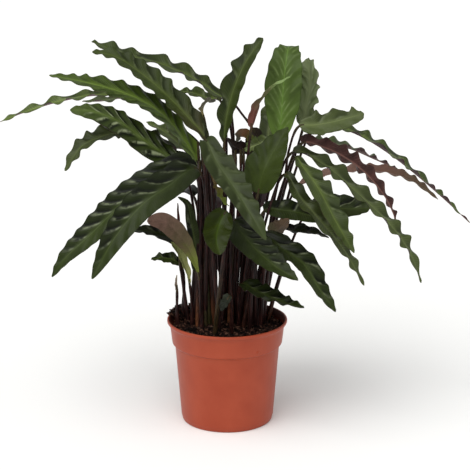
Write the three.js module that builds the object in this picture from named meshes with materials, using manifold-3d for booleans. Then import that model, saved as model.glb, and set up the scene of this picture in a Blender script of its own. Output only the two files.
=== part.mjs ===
// Potted elgergrass calathea: a nursery pot, its peat, and the leaves that stand in it.
//
// Millimetres, +Z up. The origin is the centre of the pot's foot, on the surface that it stands on,
// and +Y points away from the viewer. Each leaf grew as one piece: a stalk that runs on under a long,
// waved blade as its midrib, so each leaf is one solid.

import * as THREE from 'three';
import { mergeVertices } from 'three/addons/utils/BufferGeometryUtils.js';
import Module from 'manifold-3d';

const wasm = await Module();
wasm.setup();

// Driving dimensions

const RIM_RADIUS = 70;
const POT_HEIGHT = 122;
const FOOT_RADIUS = 53.2;
const COLLAR_HEIGHT = 92;
const COLLAR_RADIUS = 64.3;
const BODY_TOP_RADIUS = 61;
const WALL = 1.6;
const FLOOR_TOP = 4.5;
const POT_SIDES = 40;

const HUB_RADIUS = 13;
const FOOT_INNER_RADIUS = 42;
const FLOOR_RECESS = 2.5;
const DRAIN_COUNT = 8;
const DRAIN_RADIUS = 4;
const DRAIN_CIRCLE = 28;
const PIP_RADIUS = 1.3;
const PIP_HEIGHT = 98.5;
const PIP_ANGLE = -57;

const SOIL_TOP = 112;
const SOIL_SIDES = 30;
const CLEARANCE = 0.35;
const CRUMB_RELIEF = 1.1;
const MOUND = { x: -45, y: 34, radius: 15, height: 14 };

const ROOT_DEPTH = 18;
const STALK_SIDES = 5;
const STALK_STEPS = 6;
const STALK_FOOT_RADIUS = 2.3;
const STALK_TOP_RADIUS = 1.3;
const RIB_END_RADIUS = 0.7;
const RIB_SHARE = 0.14;

const BLADE_THICKNESS = 1;
const WAVE_LENGTH = 25;
const WAVE_HEIGHT = 3.5;
const FOLD_DEGREES = 16;
const BASE_RISE = 0.42;
const TIP_FALL = 0.75;
const BLUNT_EDGE = 0.6;

// The plant is laid out by eye in a level picture of it. The eye looks down on the pot from the front,
// and a picture point is [across, down, depth]: across and down in picture units from the top left
// corner, and depth in millimetres behind the pot's axis.
const EYE = { distance: 1800, height: 711, aside: 9.1, tiltDegrees: 15.18, focal: 1621, centre: 235 };

// Colours of the real surfaces: green upper faces, wine red where mostly the underside shows
const FINISH = {
  pot: { color: 0xa34b34, roughness: 0.55 },
  soil: { color: 0x231a16, roughness: 0.95 },
  dark: { color: 0x2c4324, roughness: 0.5 },
  green: { color: 0x41622f, roughness: 0.5 },
  bright: { color: 0x55822f, roughness: 0.5 },
  grey: { color: 0x566b49, roughness: 0.5 },
  red: { color: 0x5c3034, roughness: 0.55 },
  young: { color: 0x9a7a58, roughness: 0.55 },
  lime: { color: 0x7f9436, roughness: 0.5 },
};

// One row for each leaf. root is where its stalk leaves the soil, in mm from the pot's axis. rib holds
// picture points along the midrib from the blade's base to its tip, and stalk any points before them.
// roll turns the blade about its rib, in degrees at the base and at the tip. heading is the way the
// blade leans, for blades that stand nearly upright. lag 1 sets the two edges' waves against each
// other. wave, pitch and fold replace the usual wave height, wave length and the angle that the halves
// are folded up, and rise and fall the powers by which the blade widens from its base and narrows to
// its tip.
const LEAVES = [
  { name: 'left_low_front', kind: 'dark', root: [-26, 2], width: 42, roll: [-34, -42], rise: 0.32,
    rib: [[198, 169, -14], [167, 187, -44], [143, 204, -62], [116, 236, -78], [92, 279, -86]] },
  { name: 'left_low', kind: 'dark', root: [-34, 8], width: 39, roll: [-36, -40], rise: 0.5,
    rib: [[192, 161, 9], [160, 175, -14], [121, 205, -24], [90, 235, -28], [66, 257.5, -32],
          [52, 277, -34]] },
  { name: 'left_mid', kind: 'dark', root: [-31, 22], width: 40, roll: [-40, -42], fall: 0.6, fold: -5,
    lag: 1,
    rib: [[193, 168, 28], [168, 156, 27], [145, 140.5, 21], [120, 122, 8], [93, 111.5, -4],
          [70, 110, -10]] },
  { name: 'left_folded', kind: 'grey', root: [-42, 28], width: 30, roll: [-10, -30], pitch: 21,
    fall: 0.65,
    stalk: [[194, 212, 32]],
    rib: [[176, 152, 62], [146, 136, 62], [118, 133, 52], [100, 137, 39], [81.5, 146.5, 30],
          [65, 171, 24]] },
  { name: 'left_bright', kind: 'bright', root: [-24, 34], width: 42, roll: [-34, -14], fall: 0.6,
    fold: 8,
    rib: [[198, 165, 56], [184, 140, 54], [163, 114.5, 45], [138, 98.5, 40], [110, 88.5, 35],
          [84, 82, 30], [49, 75.3, 26]] },
  { name: 'left_far', kind: 'green', root: [-24, 43], width: 20, roll: [-14, -14], wave: 2.6,
    pitch: 28, fall: 0.65, lag: 1,
    stalk: [[203, 170, 67]],
    rib: [[168, 117, 66], [136, 98.5, 68], [100, 94.5, 68], [60, 101, 66], [22, 113, 64],
          [0, 122, 62]] },
  { name: 'upper_left', kind: 'green', root: [-14, 38], width: 37, roll: [-32, -22], fall: 0.6, lag: 1,
    rib: [[206, 141, 40], [190, 119.5, 46], [166, 94.5, 52], [141, 73, 54], [115, 56.5, 54],
          [92, 52, 54]] },
  { name: 'upper_left_long', kind: 'green', root: [-2, 46], width: 29, roll: [-14, -14], wave: 3.2,
    pitch: 29, fall: 0.5,
    rib: [[229, 106, 66], [212, 90.5, 72], [192, 77.5, 78], [160, 63.5, 86], [125, 54.5, 91],
          [91.5, 41.8, 92]] },
  { name: 'behind_left', kind: 'red', root: [-19, 50], width: 24, roll: [-12, -16],
    stalk: [[206, 155, 80]],
    rib: [[176, 124, 88], [150, 106, 96], [124, 98, 99], [100, 101, 101], [82, 101.5, 102]] },
  { name: 'behind_small', kind: 'green', root: [-10, 48], width: 20, roll: [-20, -20], lag: 1,
    rib: [[221, 101, 86], [208, 98, 90], [193, 93, 96], [178, 91, 104]] },
  { name: 'top_tall', kind: 'green', root: [0, 32], width: 30, roll: [50, 38], pitch: 26, rise: 0.8,
    fall: 0.6, lag: 1,
    rib: [[224, 143, 34], [226, 120, 33], [233.5, 90, 34], [247, 60, 38], [263, 38, 44]] },
  { name: 'top_broad', kind: 'bright', root: [18, 32], width: 43, roll: [0, 0], heading: 90, wave: 1.6,
    rise: 0.9, fall: 1.15, fold: 5,
    rib: [[278, 145, 42], [281, 118, 44], [284, 80, 50], [287, 55, 60], [289, 46, 78], [290, 56, 98]] },
  { name: 'top_right', kind: 'grey', root: [24, 38], width: 41, roll: [-6, -6], heading: 60, wave: 2,
    pitch: 16, rise: 0.4, fall: 0.5, lag: 1,
    rib: [[303, 127, 74], [306, 108, 73], [310, 88, 72], [309, 70, 74], [306, 59, 82]] },
  { name: 'top_thin', kind: 'red', root: [8, 16], width: 11, roll: [-50, 35], wave: 1.6,
    rib: [[251, 128, 16], [254, 112, 14], [263, 97, 9], [275, 85, 3], [290, 77, -4]] },
  { name: 'right_upper', kind: 'grey', root: [32, 28], width: 37, roll: [42, 34], rise: 0.3, fall: 0.4,
    fold: 3,
    stalk: [[284, 185, 34], [289, 150, 36]],
    rib: [[299, 126, 36], [313, 125, 38], [332, 122, 42], [350, 117.5, 46], [364, 113.5, 48]] },
  { name: 'right_far', kind: 'green', root: [42, 34], width: 24, roll: [16, 8], wave: 2.8, pitch: 29,
    lag: 1,
    rib: [[318, 123, 76], [345, 128.5, 84], [368, 139, 90], [393, 155.5, 97], [415, 173, 104],
          [443, 197.5, 112], [470, 223, 116]] },
  { name: 'right_red', kind: 'red', root: [40, 28], width: 25, roll: [-50, -36], wave: 3.2, pitch: 21,
    fall: 0.95,
    rib: [[301, 143, 48], [325, 147, 48], [347, 158, 47], [366, 173, 45], [386, 198, 41],
          [399, 228, 38]] },
  { name: 'right_grey', kind: 'red', root: [28, 48], width: 26, roll: [10, -2], pitch: 21, lag: 1,
    rib: [[303, 142, 92], [325, 142.5, 104], [350, 148, 116], [375, 159, 128], [399, 170, 136]] },
  { name: 'right_pink', kind: 'young', root: [35, 42], width: 21, roll: [-40, -36], lag: 1,
    rib: [[297, 187, 78], [310, 180, 81], [327, 174, 85], [350, 170.5, 93], [385, 171, 106],
          [412, 180, 115], [438, 199.5, 122]] },
  { name: 'right_long', kind: 'green', root: [38, 18], width: 29, roll: [6, 14], wave: 3.4, pitch: 27,
    lag: 1,
    rib: [[292, 152, 30], [325, 165, 18], [352, 188, 7], [378, 212, -3], [398, 234, -10],
          [412, 257, -17], [421, 283, -22]] },
  { name: 'right_green', kind: 'green', root: [30, 8], width: 32, roll: [-8, 4], pitch: 26, rise: 0.75,
    rib: [[294, 157, 16], [303, 167, -6], [318, 188, -42], [335, 220, -74], [354, 253, -92]] },
  { name: 'right_narrow', kind: 'grey', root: [19, -3], width: 23, roll: [18, -4], pitch: 26,
    rise: 0.6, lag: 1,
    rib: [[284, 174, -8], [300, 197, -36], [318, 218, -58], [344, 250, -76], [364, 285.5, -84]] },
  { name: 'right_dark', kind: 'dark', root: [48, 22], width: 37, roll: [32, 36], fall: 0.5,
    rib: [[312, 206, 62], [332, 208, 56], [352, 209, 48], [370, 208.5, 42]] },
  { name: 'right_dark_mid', kind: 'dark', root: [33, 1], width: 24, roll: [55, 50],
    rib: [[264, 211, 5], [282, 210, 4], [300, 213, 2], [316, 218, -1], [330, 223, -4]] },
  { name: 'right_dark_low', kind: 'dark', root: [42, 8], width: 24, roll: [12, 10],
    rib: [[280, 229, 10], [295, 231, 12], [311, 232, 14], [329, 238, 14]] },
  { name: 'right_low', kind: 'dark', root: [26, -10], width: 36, roll: [14, 14], lag: 1,
    rib: [[262, 236, -16], [284, 250, -32], [304, 264.5, -46], [318, 287, -58], [335.5, 312, -64]] },
  { name: 'centre_grey', kind: 'grey', root: [-9, -14], width: 35, roll: [18, 18], rise: 0.5,
    rib: [[205, 140.5, -20], [217, 162, -50], [236, 190, -86], [252, 216, -108], [266, 240, -120]] },
  { name: 'centre_green', kind: 'bright', root: [14, 5], width: 46, roll: [0, 0], heading: 70,
    rise: 0.5, fall: 0.95,
    rib: [[258, 193.5, -4], [264, 170, 0], [276, 147, 8], [288, 127, 20]] },
  { name: 'centre_small', kind: 'bright', root: [-14, -28], width: 33, roll: [-10, -10], fall: 0.6,
    rib: [[226.5, 211, -58], [219.5, 224, -66], [216.5, 240, -84], [220, 255, -98]] },
  { name: 'centre_lime', kind: 'lime', root: [-16, 8], width: 15, roll: [-20, -20], rise: 1.6,
    fall: 0.5,
    rib: [[206, 155, -4], [211, 172, -8], [217, 190, -14], [222, 200, -20], [229, 206, -24]] },
  { name: 'centre_dark', kind: 'dark', root: [5, 1], width: 44, roll: [10, 14],
    rib: [[233, 221, 2], [242, 233, -28], [256, 249.5, -58], [277, 267.5, -86], [298, 280.5, -100]] },
  { name: 'low_right', kind: 'dark', root: [14, -2], width: 30, roll: [4, 8], wave: 1.6,
    rib: [[241, 284, -14], [256, 291, -36], [272, 298, -56], [288, 304, -70], [304, 308, -84]] },
  { name: 'left_low_behind', kind: 'dark', root: [-38, 34], width: 32, roll: [-16, -20],
    rib: [[196, 258, 38], [178, 243, 40], [157, 233, 44], [130, 230, 46]] },
  { name: 'left_tiny', kind: 'dark', root: [-52.5, 20], width: 18, roll: [-28, -28], wave: 1.6,
    rib: [[182, 267, 30], [173, 260, 30], [162, 258, 30], [151, 259.5, 30]] },
  { name: 'left_dark_back', kind: 'dark', root: [-38, 19], width: 14, roll: [0, 0], heading: 90,
    wave: 1, pitch: 30, fold: 6,
    rib: [[196, 272, 19], [195, 245, 19], [191, 220, 18], [187, 203, 17], [178, 197, 19]] },
  { name: 'young_pink', kind: 'young', root: [-31, -4], width: 22, roll: [-80, -80], wave: 1,
    rise: 1.4, fall: 0.6, fold: 12,
    rib: [[199, 277, -5], [193.5, 259, -8], [185, 243, -10], [174.5, 230, -11], [162, 221, -13],
          [147, 221, -14]] },
  { name: 'young_rolled', kind: 'lime', root: [-41, 6], width: 11, roll: [-60, -60], wave: 1, rise: 1,
    fold: 30,
    rib: [[190, 284, 8], [186, 269, 6], [180, 255, 4], [171, 242, 2]] },
  { name: 'shoot_left', kind: 'young', root: [-46, 12], width: 5, roll: [0, 0], wave: 0.5, pitch: 30,
    fold: 40,
    rib: [[180, 262, 16], [178, 230, 14], [177.5, 203, 12]] },
  { name: 'stub_left', kind: 'young', root: [-58, 2], width: 3, roll: [0, 0], wave: 0.3, pitch: 30,
    fold: 40,
    rib: [[176.5, 290, 2], [176, 283, 2], [177, 275, 2]] },
  { name: 'curled_dark', kind: 'red', root: [6, 52], width: 25, roll: [60, 60], lag: 1,
    stalk: [[233, 150, 74], [230, 115, 76], [234, 105, 70], [242, 114, 62]],
    rib: [[252, 128, 56], [257, 141, 52], [248, 149, 50], [237, 148, 50], [227, 138, 52]] },
  { name: 'grey_ruffle', kind: 'grey', root: [12, 40], width: 18, roll: [-50, -50],
    stalk: [[262, 180, 40]],
    rib: [[268, 141, 38], [259, 144.5, 36], [251, 147, 34], [245, 151, 34]] },
  { name: 'withered_left', kind: 'young', root: [-5, 39], width: 12, roll: [-40, -40], wave: 1.5,
    stalk: [[211, 160, 62]],
    rib: [[204, 120, 70], [202, 110, 72], [206, 102, 74], [216, 101, 76]] },
  { name: 'withered_centre', kind: 'young', root: [5, 39], width: 12, roll: [-50, -50], wave: 1.5,
    rib: [[252, 143, 44], [247, 136, 43], [241, 133, 43], [237, 142, 43]] },
  { name: 'right_tan', kind: 'young', root: [39, -2], width: 21, roll: [-60, -60], wave: 1,
    rib: [[271, 233, -6], [278, 229, -8], [289, 219, -10]] },
  { name: 'low_centre', kind: 'dark', root: [5, -26], width: 12, roll: [-20, -20], wave: 1,
    rib: [[230, 296, -38], [225, 303, -42], [221, 311, -44]] },
  { name: 'back_mid_left', kind: 'dark', root: [-6, 56], width: 36, roll: [0, 0], pitch: 30,
    rib: [[222, 192, 92], [216, 190, 124], [211, 202, 154], [209, 224, 176], [209, 244, 182]] },
  { name: 'back_mid_right', kind: 'dark', root: [14, 44], width: 40, roll: [0, 0], pitch: 30,
    rib: [[256, 178, 70], [259, 168, 120], [261, 182, 170], [260, 208, 205]] },
  { name: 'back_low_right', kind: 'dark', root: [18, 52], width: 34, roll: [0, 0], pitch: 30,
    rib: [[248, 240, 76], [258, 240, 112], [270, 248, 144], [280, 262, 164]] },
  { name: 'back_low_left', kind: 'dark', root: [2, 56], width: 32, roll: [0, 0], pitch: 30,
    rib: [[228, 238, 84], [225, 236, 120], [223, 252, 152], [223, 280, 170]] },
  { name: 'back_high_right', kind: 'green', root: [23, 49], width: 26, roll: [0, 0], heading: 70,
    pitch: 30,
    rib: [[267, 146, 66], [269, 130, 74], [274, 110, 92], [288, 92, 140]] },
  { name: 'back_far_left', kind: 'green', root: [-30, 44], width: 30, roll: [0, 0], pitch: 30,
    rib: [[194, 160, 70], [178, 143, 100], [162, 130, 124], [146, 122, 142]] },
  { name: 'back_low_side', kind: 'dark', root: [-37, 42], width: 36, roll: [0, 0], pitch: 30,
    rib: [[194, 196, 58], [170, 194, 96], [142, 206, 136], [124, 228, 166]] },
];

function material(kind) {
  return new THREE.MeshStandardMaterial({ metalness: 0, ...FINISH[kind] });
}

// A closed geometry as a solid that can be joined and cut
function solid(geometry) {
  const bare = geometry.clone();
  bare.deleteAttribute('normal');
  bare.deleteAttribute('uv');
  const merged = mergeVertices(bare, 1e-4);
  const vertProperties = new Float32Array(merged.attributes.position.array);
  const triVerts = new Uint32Array(merged.index.array);
  return new wasm.Manifold(new wasm.Mesh({ numProp: 3, vertProperties, triVerts }));
}

function meshOf(body, name, kind) {
  const mesh = body.getMesh();
  const geometry = new THREE.BufferGeometry();
  geometry.setAttribute('position', new THREE.BufferAttribute(mesh.vertProperties, 3));
  geometry.setIndex(new THREE.BufferAttribute(mesh.triVerts, 1));
  geometry.computeVertexNormals();
  const result = new THREE.Mesh(geometry, material(kind));
  result.name = name;
  return result;
}

// A lathe turned about Z, from [radius, height] pairs that start and end on the axis
function turned(profile, sides) {
  const points = profile.map(([radius, height]) => new THREE.Vector2(radius, height));
  return new THREE.LatheGeometry(points, sides).rotateX(Math.PI / 2);
}

// The pot's outer face, from the foot to the top of the rim
function potOutside() {
  return [
    [FOOT_RADIUS - 1.7, 0],
    [FOOT_RADIUS, 2],
    [FOOT_RADIUS + 0.9, 6],
    [BODY_TOP_RADIUS, COLLAR_HEIGHT],
    [COLLAR_RADIUS, COLLAR_HEIGHT + 2.6],
    [RIM_RADIUS - 3.5, POT_HEIGHT - 8],
    [RIM_RADIUS, POT_HEIGHT - 3],
    [RIM_RADIUS, POT_HEIGHT - 0.8],
    [RIM_RADIUS - 0.8, POT_HEIGHT],
  ];
}

// The pot's inner face, from the floor's edge to the rim, which the peat follows too
function potInside() {
  return [
    [FOOT_RADIUS + 0.9 - WALL, FLOOR_TOP],
    [BODY_TOP_RADIUS - WALL, COLLAR_HEIGHT + 1],
    [COLLAR_RADIUS - WALL, COLLAR_HEIGHT + 4],
    [RIM_RADIUS - 3.5 - WALL, POT_HEIGHT - 7],
    [RIM_RADIUS - 2.4, POT_HEIGHT],
  ];
}

// A thin moulded pot: a foot ring and a hub to stand on, drain holes between them, and a small
// moulding pip on the collar
function pot() {
  const underside = [
    [0, 0],
    [HUB_RADIUS, 0],
    [HUB_RADIUS + 1, FLOOR_RECESS],
    [FOOT_INNER_RADIUS - 1, FLOOR_RECESS],
    [FOOT_INNER_RADIUS, 0],
  ];
  const profile = [...underside, ...potOutside(), ...potInside().reverse(), [0, FLOOR_TOP]];
  let body = solid(turned(profile, POT_SIDES));
  for (let k = 0; k < DRAIN_COUNT; k += 1) {
    const angle = (2 * Math.PI * (k + 0.5)) / DRAIN_COUNT;
    const drill = new THREE.CylinderGeometry(DRAIN_RADIUS, DRAIN_RADIUS, 4 * FLOOR_TOP, 12);
    drill.rotateX(Math.PI / 2);
    drill.translate(DRAIN_CIRCLE * Math.cos(angle), DRAIN_CIRCLE * Math.sin(angle), 0);
    body = body.subtract(solid(drill));
  }
  const pip = new THREE.SphereGeometry(PIP_RADIUS, 8, 6);
  const collarMiddle = COLLAR_RADIUS + 0.3;
  const pipAngle = THREE.MathUtils.degToRad(PIP_ANGLE);
  pip.translate(collarMiddle * Math.cos(pipAngle), collarMiddle * Math.sin(pipAngle), PIP_HEIGHT);
  return body.add(solid(pip));
}

// The peat's surface: shallow crumbs everywhere and a mound of bark at the back left
function soilHeight(x, y) {
  const crumbs = Math.sin(x / 5.1 + 0.7) * Math.cos(y / 6.3) + 0.6 * Math.sin(x / 2.9 - y / 3.7);
  const away = Math.hypot(x - MOUND.x, y - MOUND.y) / MOUND.radius;
  return CRUMB_RELIEF * crumbs + MOUND.height * Math.exp(-away * away);
}

// The peat fills the pot, clear of its wall, with a hole for each stalk
function soil(leaves) {
  const side = potInside()
    .slice(0, 3)
    .map(([radius, height]) => [radius - CLEARANCE, height]);
  side[0][1] += CLEARANCE;
  const edge = COLLAR_RADIUS - WALL + 1.4;
  const rings = [edge, 61, 55, 48, 40, 31, 21, 11, 0].map((radius) => [radius, SOIL_TOP]);
  const geometry = turned([[0, FLOOR_TOP + CLEARANCE], ...side, ...rings], SOIL_SIDES);
  const position = geometry.attributes.position;
  for (let k = 0; k < position.count; k += 1) {
    if (position.getZ(k) < SOIL_TOP - 0.01) continue;
    const [x, y] = [position.getX(k), position.getY(k)];
    const calm = Math.min(1, (edge - Math.hypot(x, y)) / 8);
    position.setZ(k, SOIL_TOP + calm * soilHeight(x, y));
  }
  let body = solid(geometry);
  for (const leaf of leaves) body = body.subtract(solid(stalkHole(leaf)));
  return body;
}

// A picture point in the object's own frame
function seen([across, down, depth]) {
  const tilt = THREE.MathUtils.degToRad(EYE.tiltDegrees);
  const right = (across - EYE.centre) / EYE.focal;
  const up = (EYE.centre - down) / EYE.focal;
  const forward = Math.cos(tilt) + up * Math.sin(tilt);
  const rise = up * Math.cos(tilt) - Math.sin(tilt);
  const reach = (EYE.distance + depth) / forward;
  return new THREE.Vector3(EYE.aside + right * reach, depth, EYE.height + rise * reach);
}

// The line a leaf grows along, from the foot of its stalk in the peat to the blade's tip, sampled
// finely, with the length at each sample and at the blade's base
function growthLine(leaf) {
  const [x, y] = leaf.root;
  const rib = leaf.rib.map(seen);
  const below = [new THREE.Vector3(x, y, SOIL_TOP - ROOT_DEPTH), new THREE.Vector3(x, y, SOIL_TOP)];
  const points = [...below, ...(leaf.stalk ?? []).map(seen), ...rib];
  const curve = new THREE.CatmullRomCurve3(points, false, 'centripetal');
  const samplesPerSpan = 40;
  const samples = curve.getPoints(samplesPerSpan * (points.length - 1));
  const lengths = [0];
  for (let k = 1; k < samples.length; k += 1) {
    lengths.push(lengths[k - 1] + samples[k].distanceTo(samples[k - 1]));
  }
  const base = lengths[samplesPerSpan * (points.length - rib.length)];
  const total = lengths[lengths.length - 1];
  const lean = rib[rib.length - 1].clone().sub(rib[0]).setZ(0).normalize();
  return { samples, lengths, base, total, lean };
}

// The point at a length along the line, which runs straight on past both ends
function pointAt({ samples, lengths, total }, length) {
  let k = lengths.findIndex((value) => value >= length);
  if (k < 1) k = length > total ? lengths.length - 1 : 1;
  const share = (length - lengths[k - 1]) / (lengths[k] - lengths[k - 1]);
  return samples[k - 1].clone().lerp(samples[k], share);
}

// Where the line is at a length, with the way it runs, the way across the blade to its right, and
// the way its upper face looks
function frameAt(leaf, line, length) {
  const step = 1;
  const origin = pointAt(line, length);
  const along = pointAt(line, length + step).sub(pointAt(line, length - step)).normalize();
  const lean = line.lean.clone();
  if (leaf.heading !== undefined) {
    const angle = THREE.MathUtils.degToRad(leaf.heading);
    lean.set(Math.cos(angle), Math.sin(angle), 0);
  }
  const across = new THREE.Vector3(lean.y, -lean.x, 0);
  across.addScaledVector(along, -across.dot(along)).normalize();
  const face = new THREE.Vector3().crossVectors(across, along);
  const share = THREE.MathUtils.clamp((length - line.base) / (line.total - line.base), 0, 1);
  const roll = THREE.MathUtils.degToRad(THREE.MathUtils.lerp(leaf.roll[0], leaf.roll[1], share));
  across.applyAxisAngle(along, roll);
  face.applyAxisAngle(along, roll);
  return { origin, along, across, face, share };
}

// Half of the blade's width as a share of its widest: full below the middle, drawn out to the tip
function outline(leaf, share) {
  const rise = leaf.rise ?? BASE_RISE;
  const fall = leaf.fall ?? TIP_FALL;
  const widest = rise / (rise + fall);
  const top = widest ** rise * (1 - widest) ** fall;
  return (share ** rise * (1 - share) ** fall) / top;
}

// A blade is two rows of facets on each side of the rib, folded up along it, with stations at the
// crests and troughs of its waves. Both faces are split alike, so the thin blade keeps its thickness.
function blade(leaf, line) {
  const waves = Math.max(3, Math.round((line.total - line.base) / (leaf.pitch ?? WAVE_LENGTH)));
  const stations = 2 * waves + 1;
  const fold = THREE.MathUtils.degToRad(leaf.fold ?? FOLD_DEGREES);
  const position = [];
  for (const level of [0.5, -0.5]) {
    for (const side of [-1, 0, 1]) {
      for (let k = 0; k < stations; k += 1) {
        const length = line.base + ((line.total - line.base) * k) / (stations - 1);
        const { origin, across, face, share } = frameAt(leaf, line, length);
        const fullness = outline(leaf, share);
        const half = (leaf.width / 2) * fullness + BLUNT_EDGE;
        const swell = Math.min(1, 1.4 * fullness ** 0.7) * (leaf.wave ?? WAVE_HEIGHT);
        const lag = side > 0 ? (leaf.lag ?? 0) : 0;
        const wave = Math.abs(side) * swell * Math.cos(2 * Math.PI * (waves * share + lag / 2));
        const lift = half * Math.abs(side) * Math.sin(fold) + wave + level * BLADE_THICKNESS;
        origin.addScaledVector(across, half * side * Math.cos(fold)).addScaledVector(face, lift);
        position.push(origin.x, origin.y, origin.z);
      }
    }
  }
  const geometry = new THREE.BufferGeometry();
  geometry.setAttribute('position', new THREE.Float32BufferAttribute(position, 3));
  geometry.setIndex(bladeFacets(stations));
  return geometry;
}

function bladeFacets(stations) {
  const under = 3 * stations;
  const index = [];
  const quad = (a, b, c, d) => index.push(a, b, c, a, c, d);
  for (let row = 0; row < 2; row += 1) {
    for (let k = 0; k < stations - 1; k += 1) {
      const a = row * stations + k;
      const [b, c, d] = [a + stations, a + stations + 1, a + 1];
      const fromRib = (row === 0) === (k % 2 === 0);
      const facets = fromRib ? [[a, b, c], [a, c, d]] : [[a, b, d], [b, c, d]];
      for (const [p, q, r] of facets) index.push(p, q, r, p + under, r + under, q + under);
    }
  }
  for (let k = 0; k < stations - 1; k += 1) {
    quad(k, k + 1, k + 1 + under, k + under);
    const right = 2 * stations + k;
    quad(right + 1, right, right + under, right + 1 + under);
  }
  for (let row = 0; row < 2; row += 1) {
    const base = row * stations;
    const tip = base + stations - 1;
    quad(base + stations, base, base + under, base + stations + under);
    quad(tip, tip + stations, tip + stations + under, tip + under);
  }
  return index;
}

// A cylinder bent along the leaf's line: rings gives each ring's [length, radius]
function bentRod(leaf, line, rings) {
  const geometry = new THREE.CylinderGeometry(1, 1, rings.length - 1, STALK_SIDES, rings.length - 1);
  const position = geometry.attributes.position;
  for (let k = 0; k < position.count; k += 1) {
    const ring = Math.round(position.getY(k) + (rings.length - 1) / 2);
    const [length, radius] = rings[ring];
    const { origin, across, face } = frameAt(leaf, line, length);
    const sink = THREE.MathUtils.clamp((length - line.base) / 15 + 1, 0, 1) * radius * 0.5;
    origin.addScaledVector(across, radius * position.getX(k));
    origin.addScaledVector(face, radius * position.getZ(k) - sink);
    position.setXYZ(k, origin.x, origin.y, origin.z);
  }
  return geometry;
}

function stalkRadius(line, length) {
  return THREE.MathUtils.lerp(STALK_FOOT_RADIUS, STALK_TOP_RADIUS, length / line.base);
}

// The stalk tapers up to the blade, and runs on under it as the rib
function stalk(leaf, line) {
  const rings = [];
  for (let k = 0; k <= STALK_STEPS; k += 1) {
    const length = (line.base * k) / STALK_STEPS;
    rings.push([length, stalkRadius(line, length)]);
  }
  rings.push([line.base + RIB_SHARE * (line.total - line.base), RIB_END_RADIUS]);
  return bentRod(leaf, line, rings);
}

// The hole that a stalk stands in, a little wider and deeper than the stalk and open at the top. It
// bends where the stalk does, so that it keeps the same gap all round.
function stalkHole(leaf) {
  const line = growthLine(leaf);
  const spacing = line.base / STALK_STEPS;
  const rings = [];
  for (let k = 0; (k - 1) * spacing < ROOT_DEPTH + MOUND.height + 6; k += 1) {
    rings.push([k > 0 ? k * spacing : -CLEARANCE, stalkRadius(line, k * spacing) + CLEARANCE + 0.1]);
  }
  return bentRod(leaf, line, rings);
}

function grownLeaf(leaf) {
  const line = growthLine(leaf);
  return solid(blade(leaf, line)).add(solid(stalk(leaf, line)));
}

const group = new THREE.Group();
group.add(meshOf(pot(), 'pot', 'pot'));
group.add(meshOf(soil(LEAVES), 'soil', 'soil'));
for (const leaf of LEAVES) group.add(meshOf(grownLeaf(leaf), `leaf_${leaf.name}`, leaf.kind));

export default group;
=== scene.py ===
# %% [markdown]
# # Potted elgergrass calathea
# A bushy foliage plant with long wavy leaves, grown in peat in a 14 cm nursery pot. Every leaf is one
# grown piece: a thin stalk that comes out of the peat and runs on under the blade as its midrib.
#
# The solids of the pot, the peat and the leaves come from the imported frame. Here each of them is
# replaced by a finer mesh that keeps its place and form, and gets its real finish.

# %% Load the frame
import math

import bpy
import numpy as np
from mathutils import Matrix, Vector, noise


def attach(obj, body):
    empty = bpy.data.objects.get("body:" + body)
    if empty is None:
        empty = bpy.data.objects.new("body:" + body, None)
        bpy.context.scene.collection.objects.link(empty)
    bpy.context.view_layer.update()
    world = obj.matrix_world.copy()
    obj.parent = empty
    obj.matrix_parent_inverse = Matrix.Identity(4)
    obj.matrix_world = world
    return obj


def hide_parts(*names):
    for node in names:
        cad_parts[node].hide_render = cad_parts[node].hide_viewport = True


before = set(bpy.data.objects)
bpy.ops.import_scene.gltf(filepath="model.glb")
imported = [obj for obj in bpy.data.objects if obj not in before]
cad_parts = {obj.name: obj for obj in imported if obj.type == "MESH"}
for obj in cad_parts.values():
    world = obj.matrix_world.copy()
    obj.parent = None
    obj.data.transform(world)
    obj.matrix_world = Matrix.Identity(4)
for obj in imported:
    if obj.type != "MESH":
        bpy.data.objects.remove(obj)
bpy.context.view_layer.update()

MM = 0.001
print("frame holds", len(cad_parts), "nodes")

# %% [markdown]
# ## Camera
# The picture was taken from the front and a little above, with a long lens. The eye's place is given
# in millimetres and the focal length in picture units of the 470 x 470 frame, because the leaves
# below are laid out in that frame too.

# %% Camera
EYE = dict(distance=1800.0, height=711.0, aside=9.1, tilt=math.radians(15.18), focal=1621.0, centre=235.0)
FRAME_SIZE = 470
SENSOR_MM = 36.0

lens = bpy.data.cameras.new("camera")
lens.sensor_width = SENSOR_MM
lens.lens = EYE["focal"] * SENSOR_MM / FRAME_SIZE
camera = bpy.data.objects.new("camera", lens)
camera.location = (EYE["aside"] * MM, -EYE["distance"] * MM, EYE["height"] * MM)
camera.rotation_euler = (math.pi / 2 - EYE["tilt"], 0, 0)
bpy.context.collection.objects.link(camera)
bpy.context.scene.camera = camera
print("lens", round(lens.lens, 1), "mm")

# %% [markdown]
# ## Light
# The light is a plain white studio: a pale surround, one large soft light from the upper left and a
# weaker one from the right. Area lights would fall off over the floor. Suns are even, and a wide angle
# makes their shadows as soft as those of a big softbox.

# %% Studio
SURROUND = 0.5
LIGHTS = {
    "key_light": dict(comes_from=(-0.55, -0.75, 1.3), spread_degrees=65, strength=2.45),
    "fill_light": dict(comes_from=(1.0, -0.7, 0.6), spread_degrees=80, strength=0.5),
}

world = bpy.data.worlds.new("studio")
world.use_nodes = True
world.node_tree.nodes["Background"].inputs["Color"].default_value = (1, 1, 1, 1)
world.node_tree.nodes["Background"].inputs["Strength"].default_value = SURROUND
bpy.context.scene.world = world
bpy.context.scene.view_settings.view_transform = "Standard"

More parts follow.
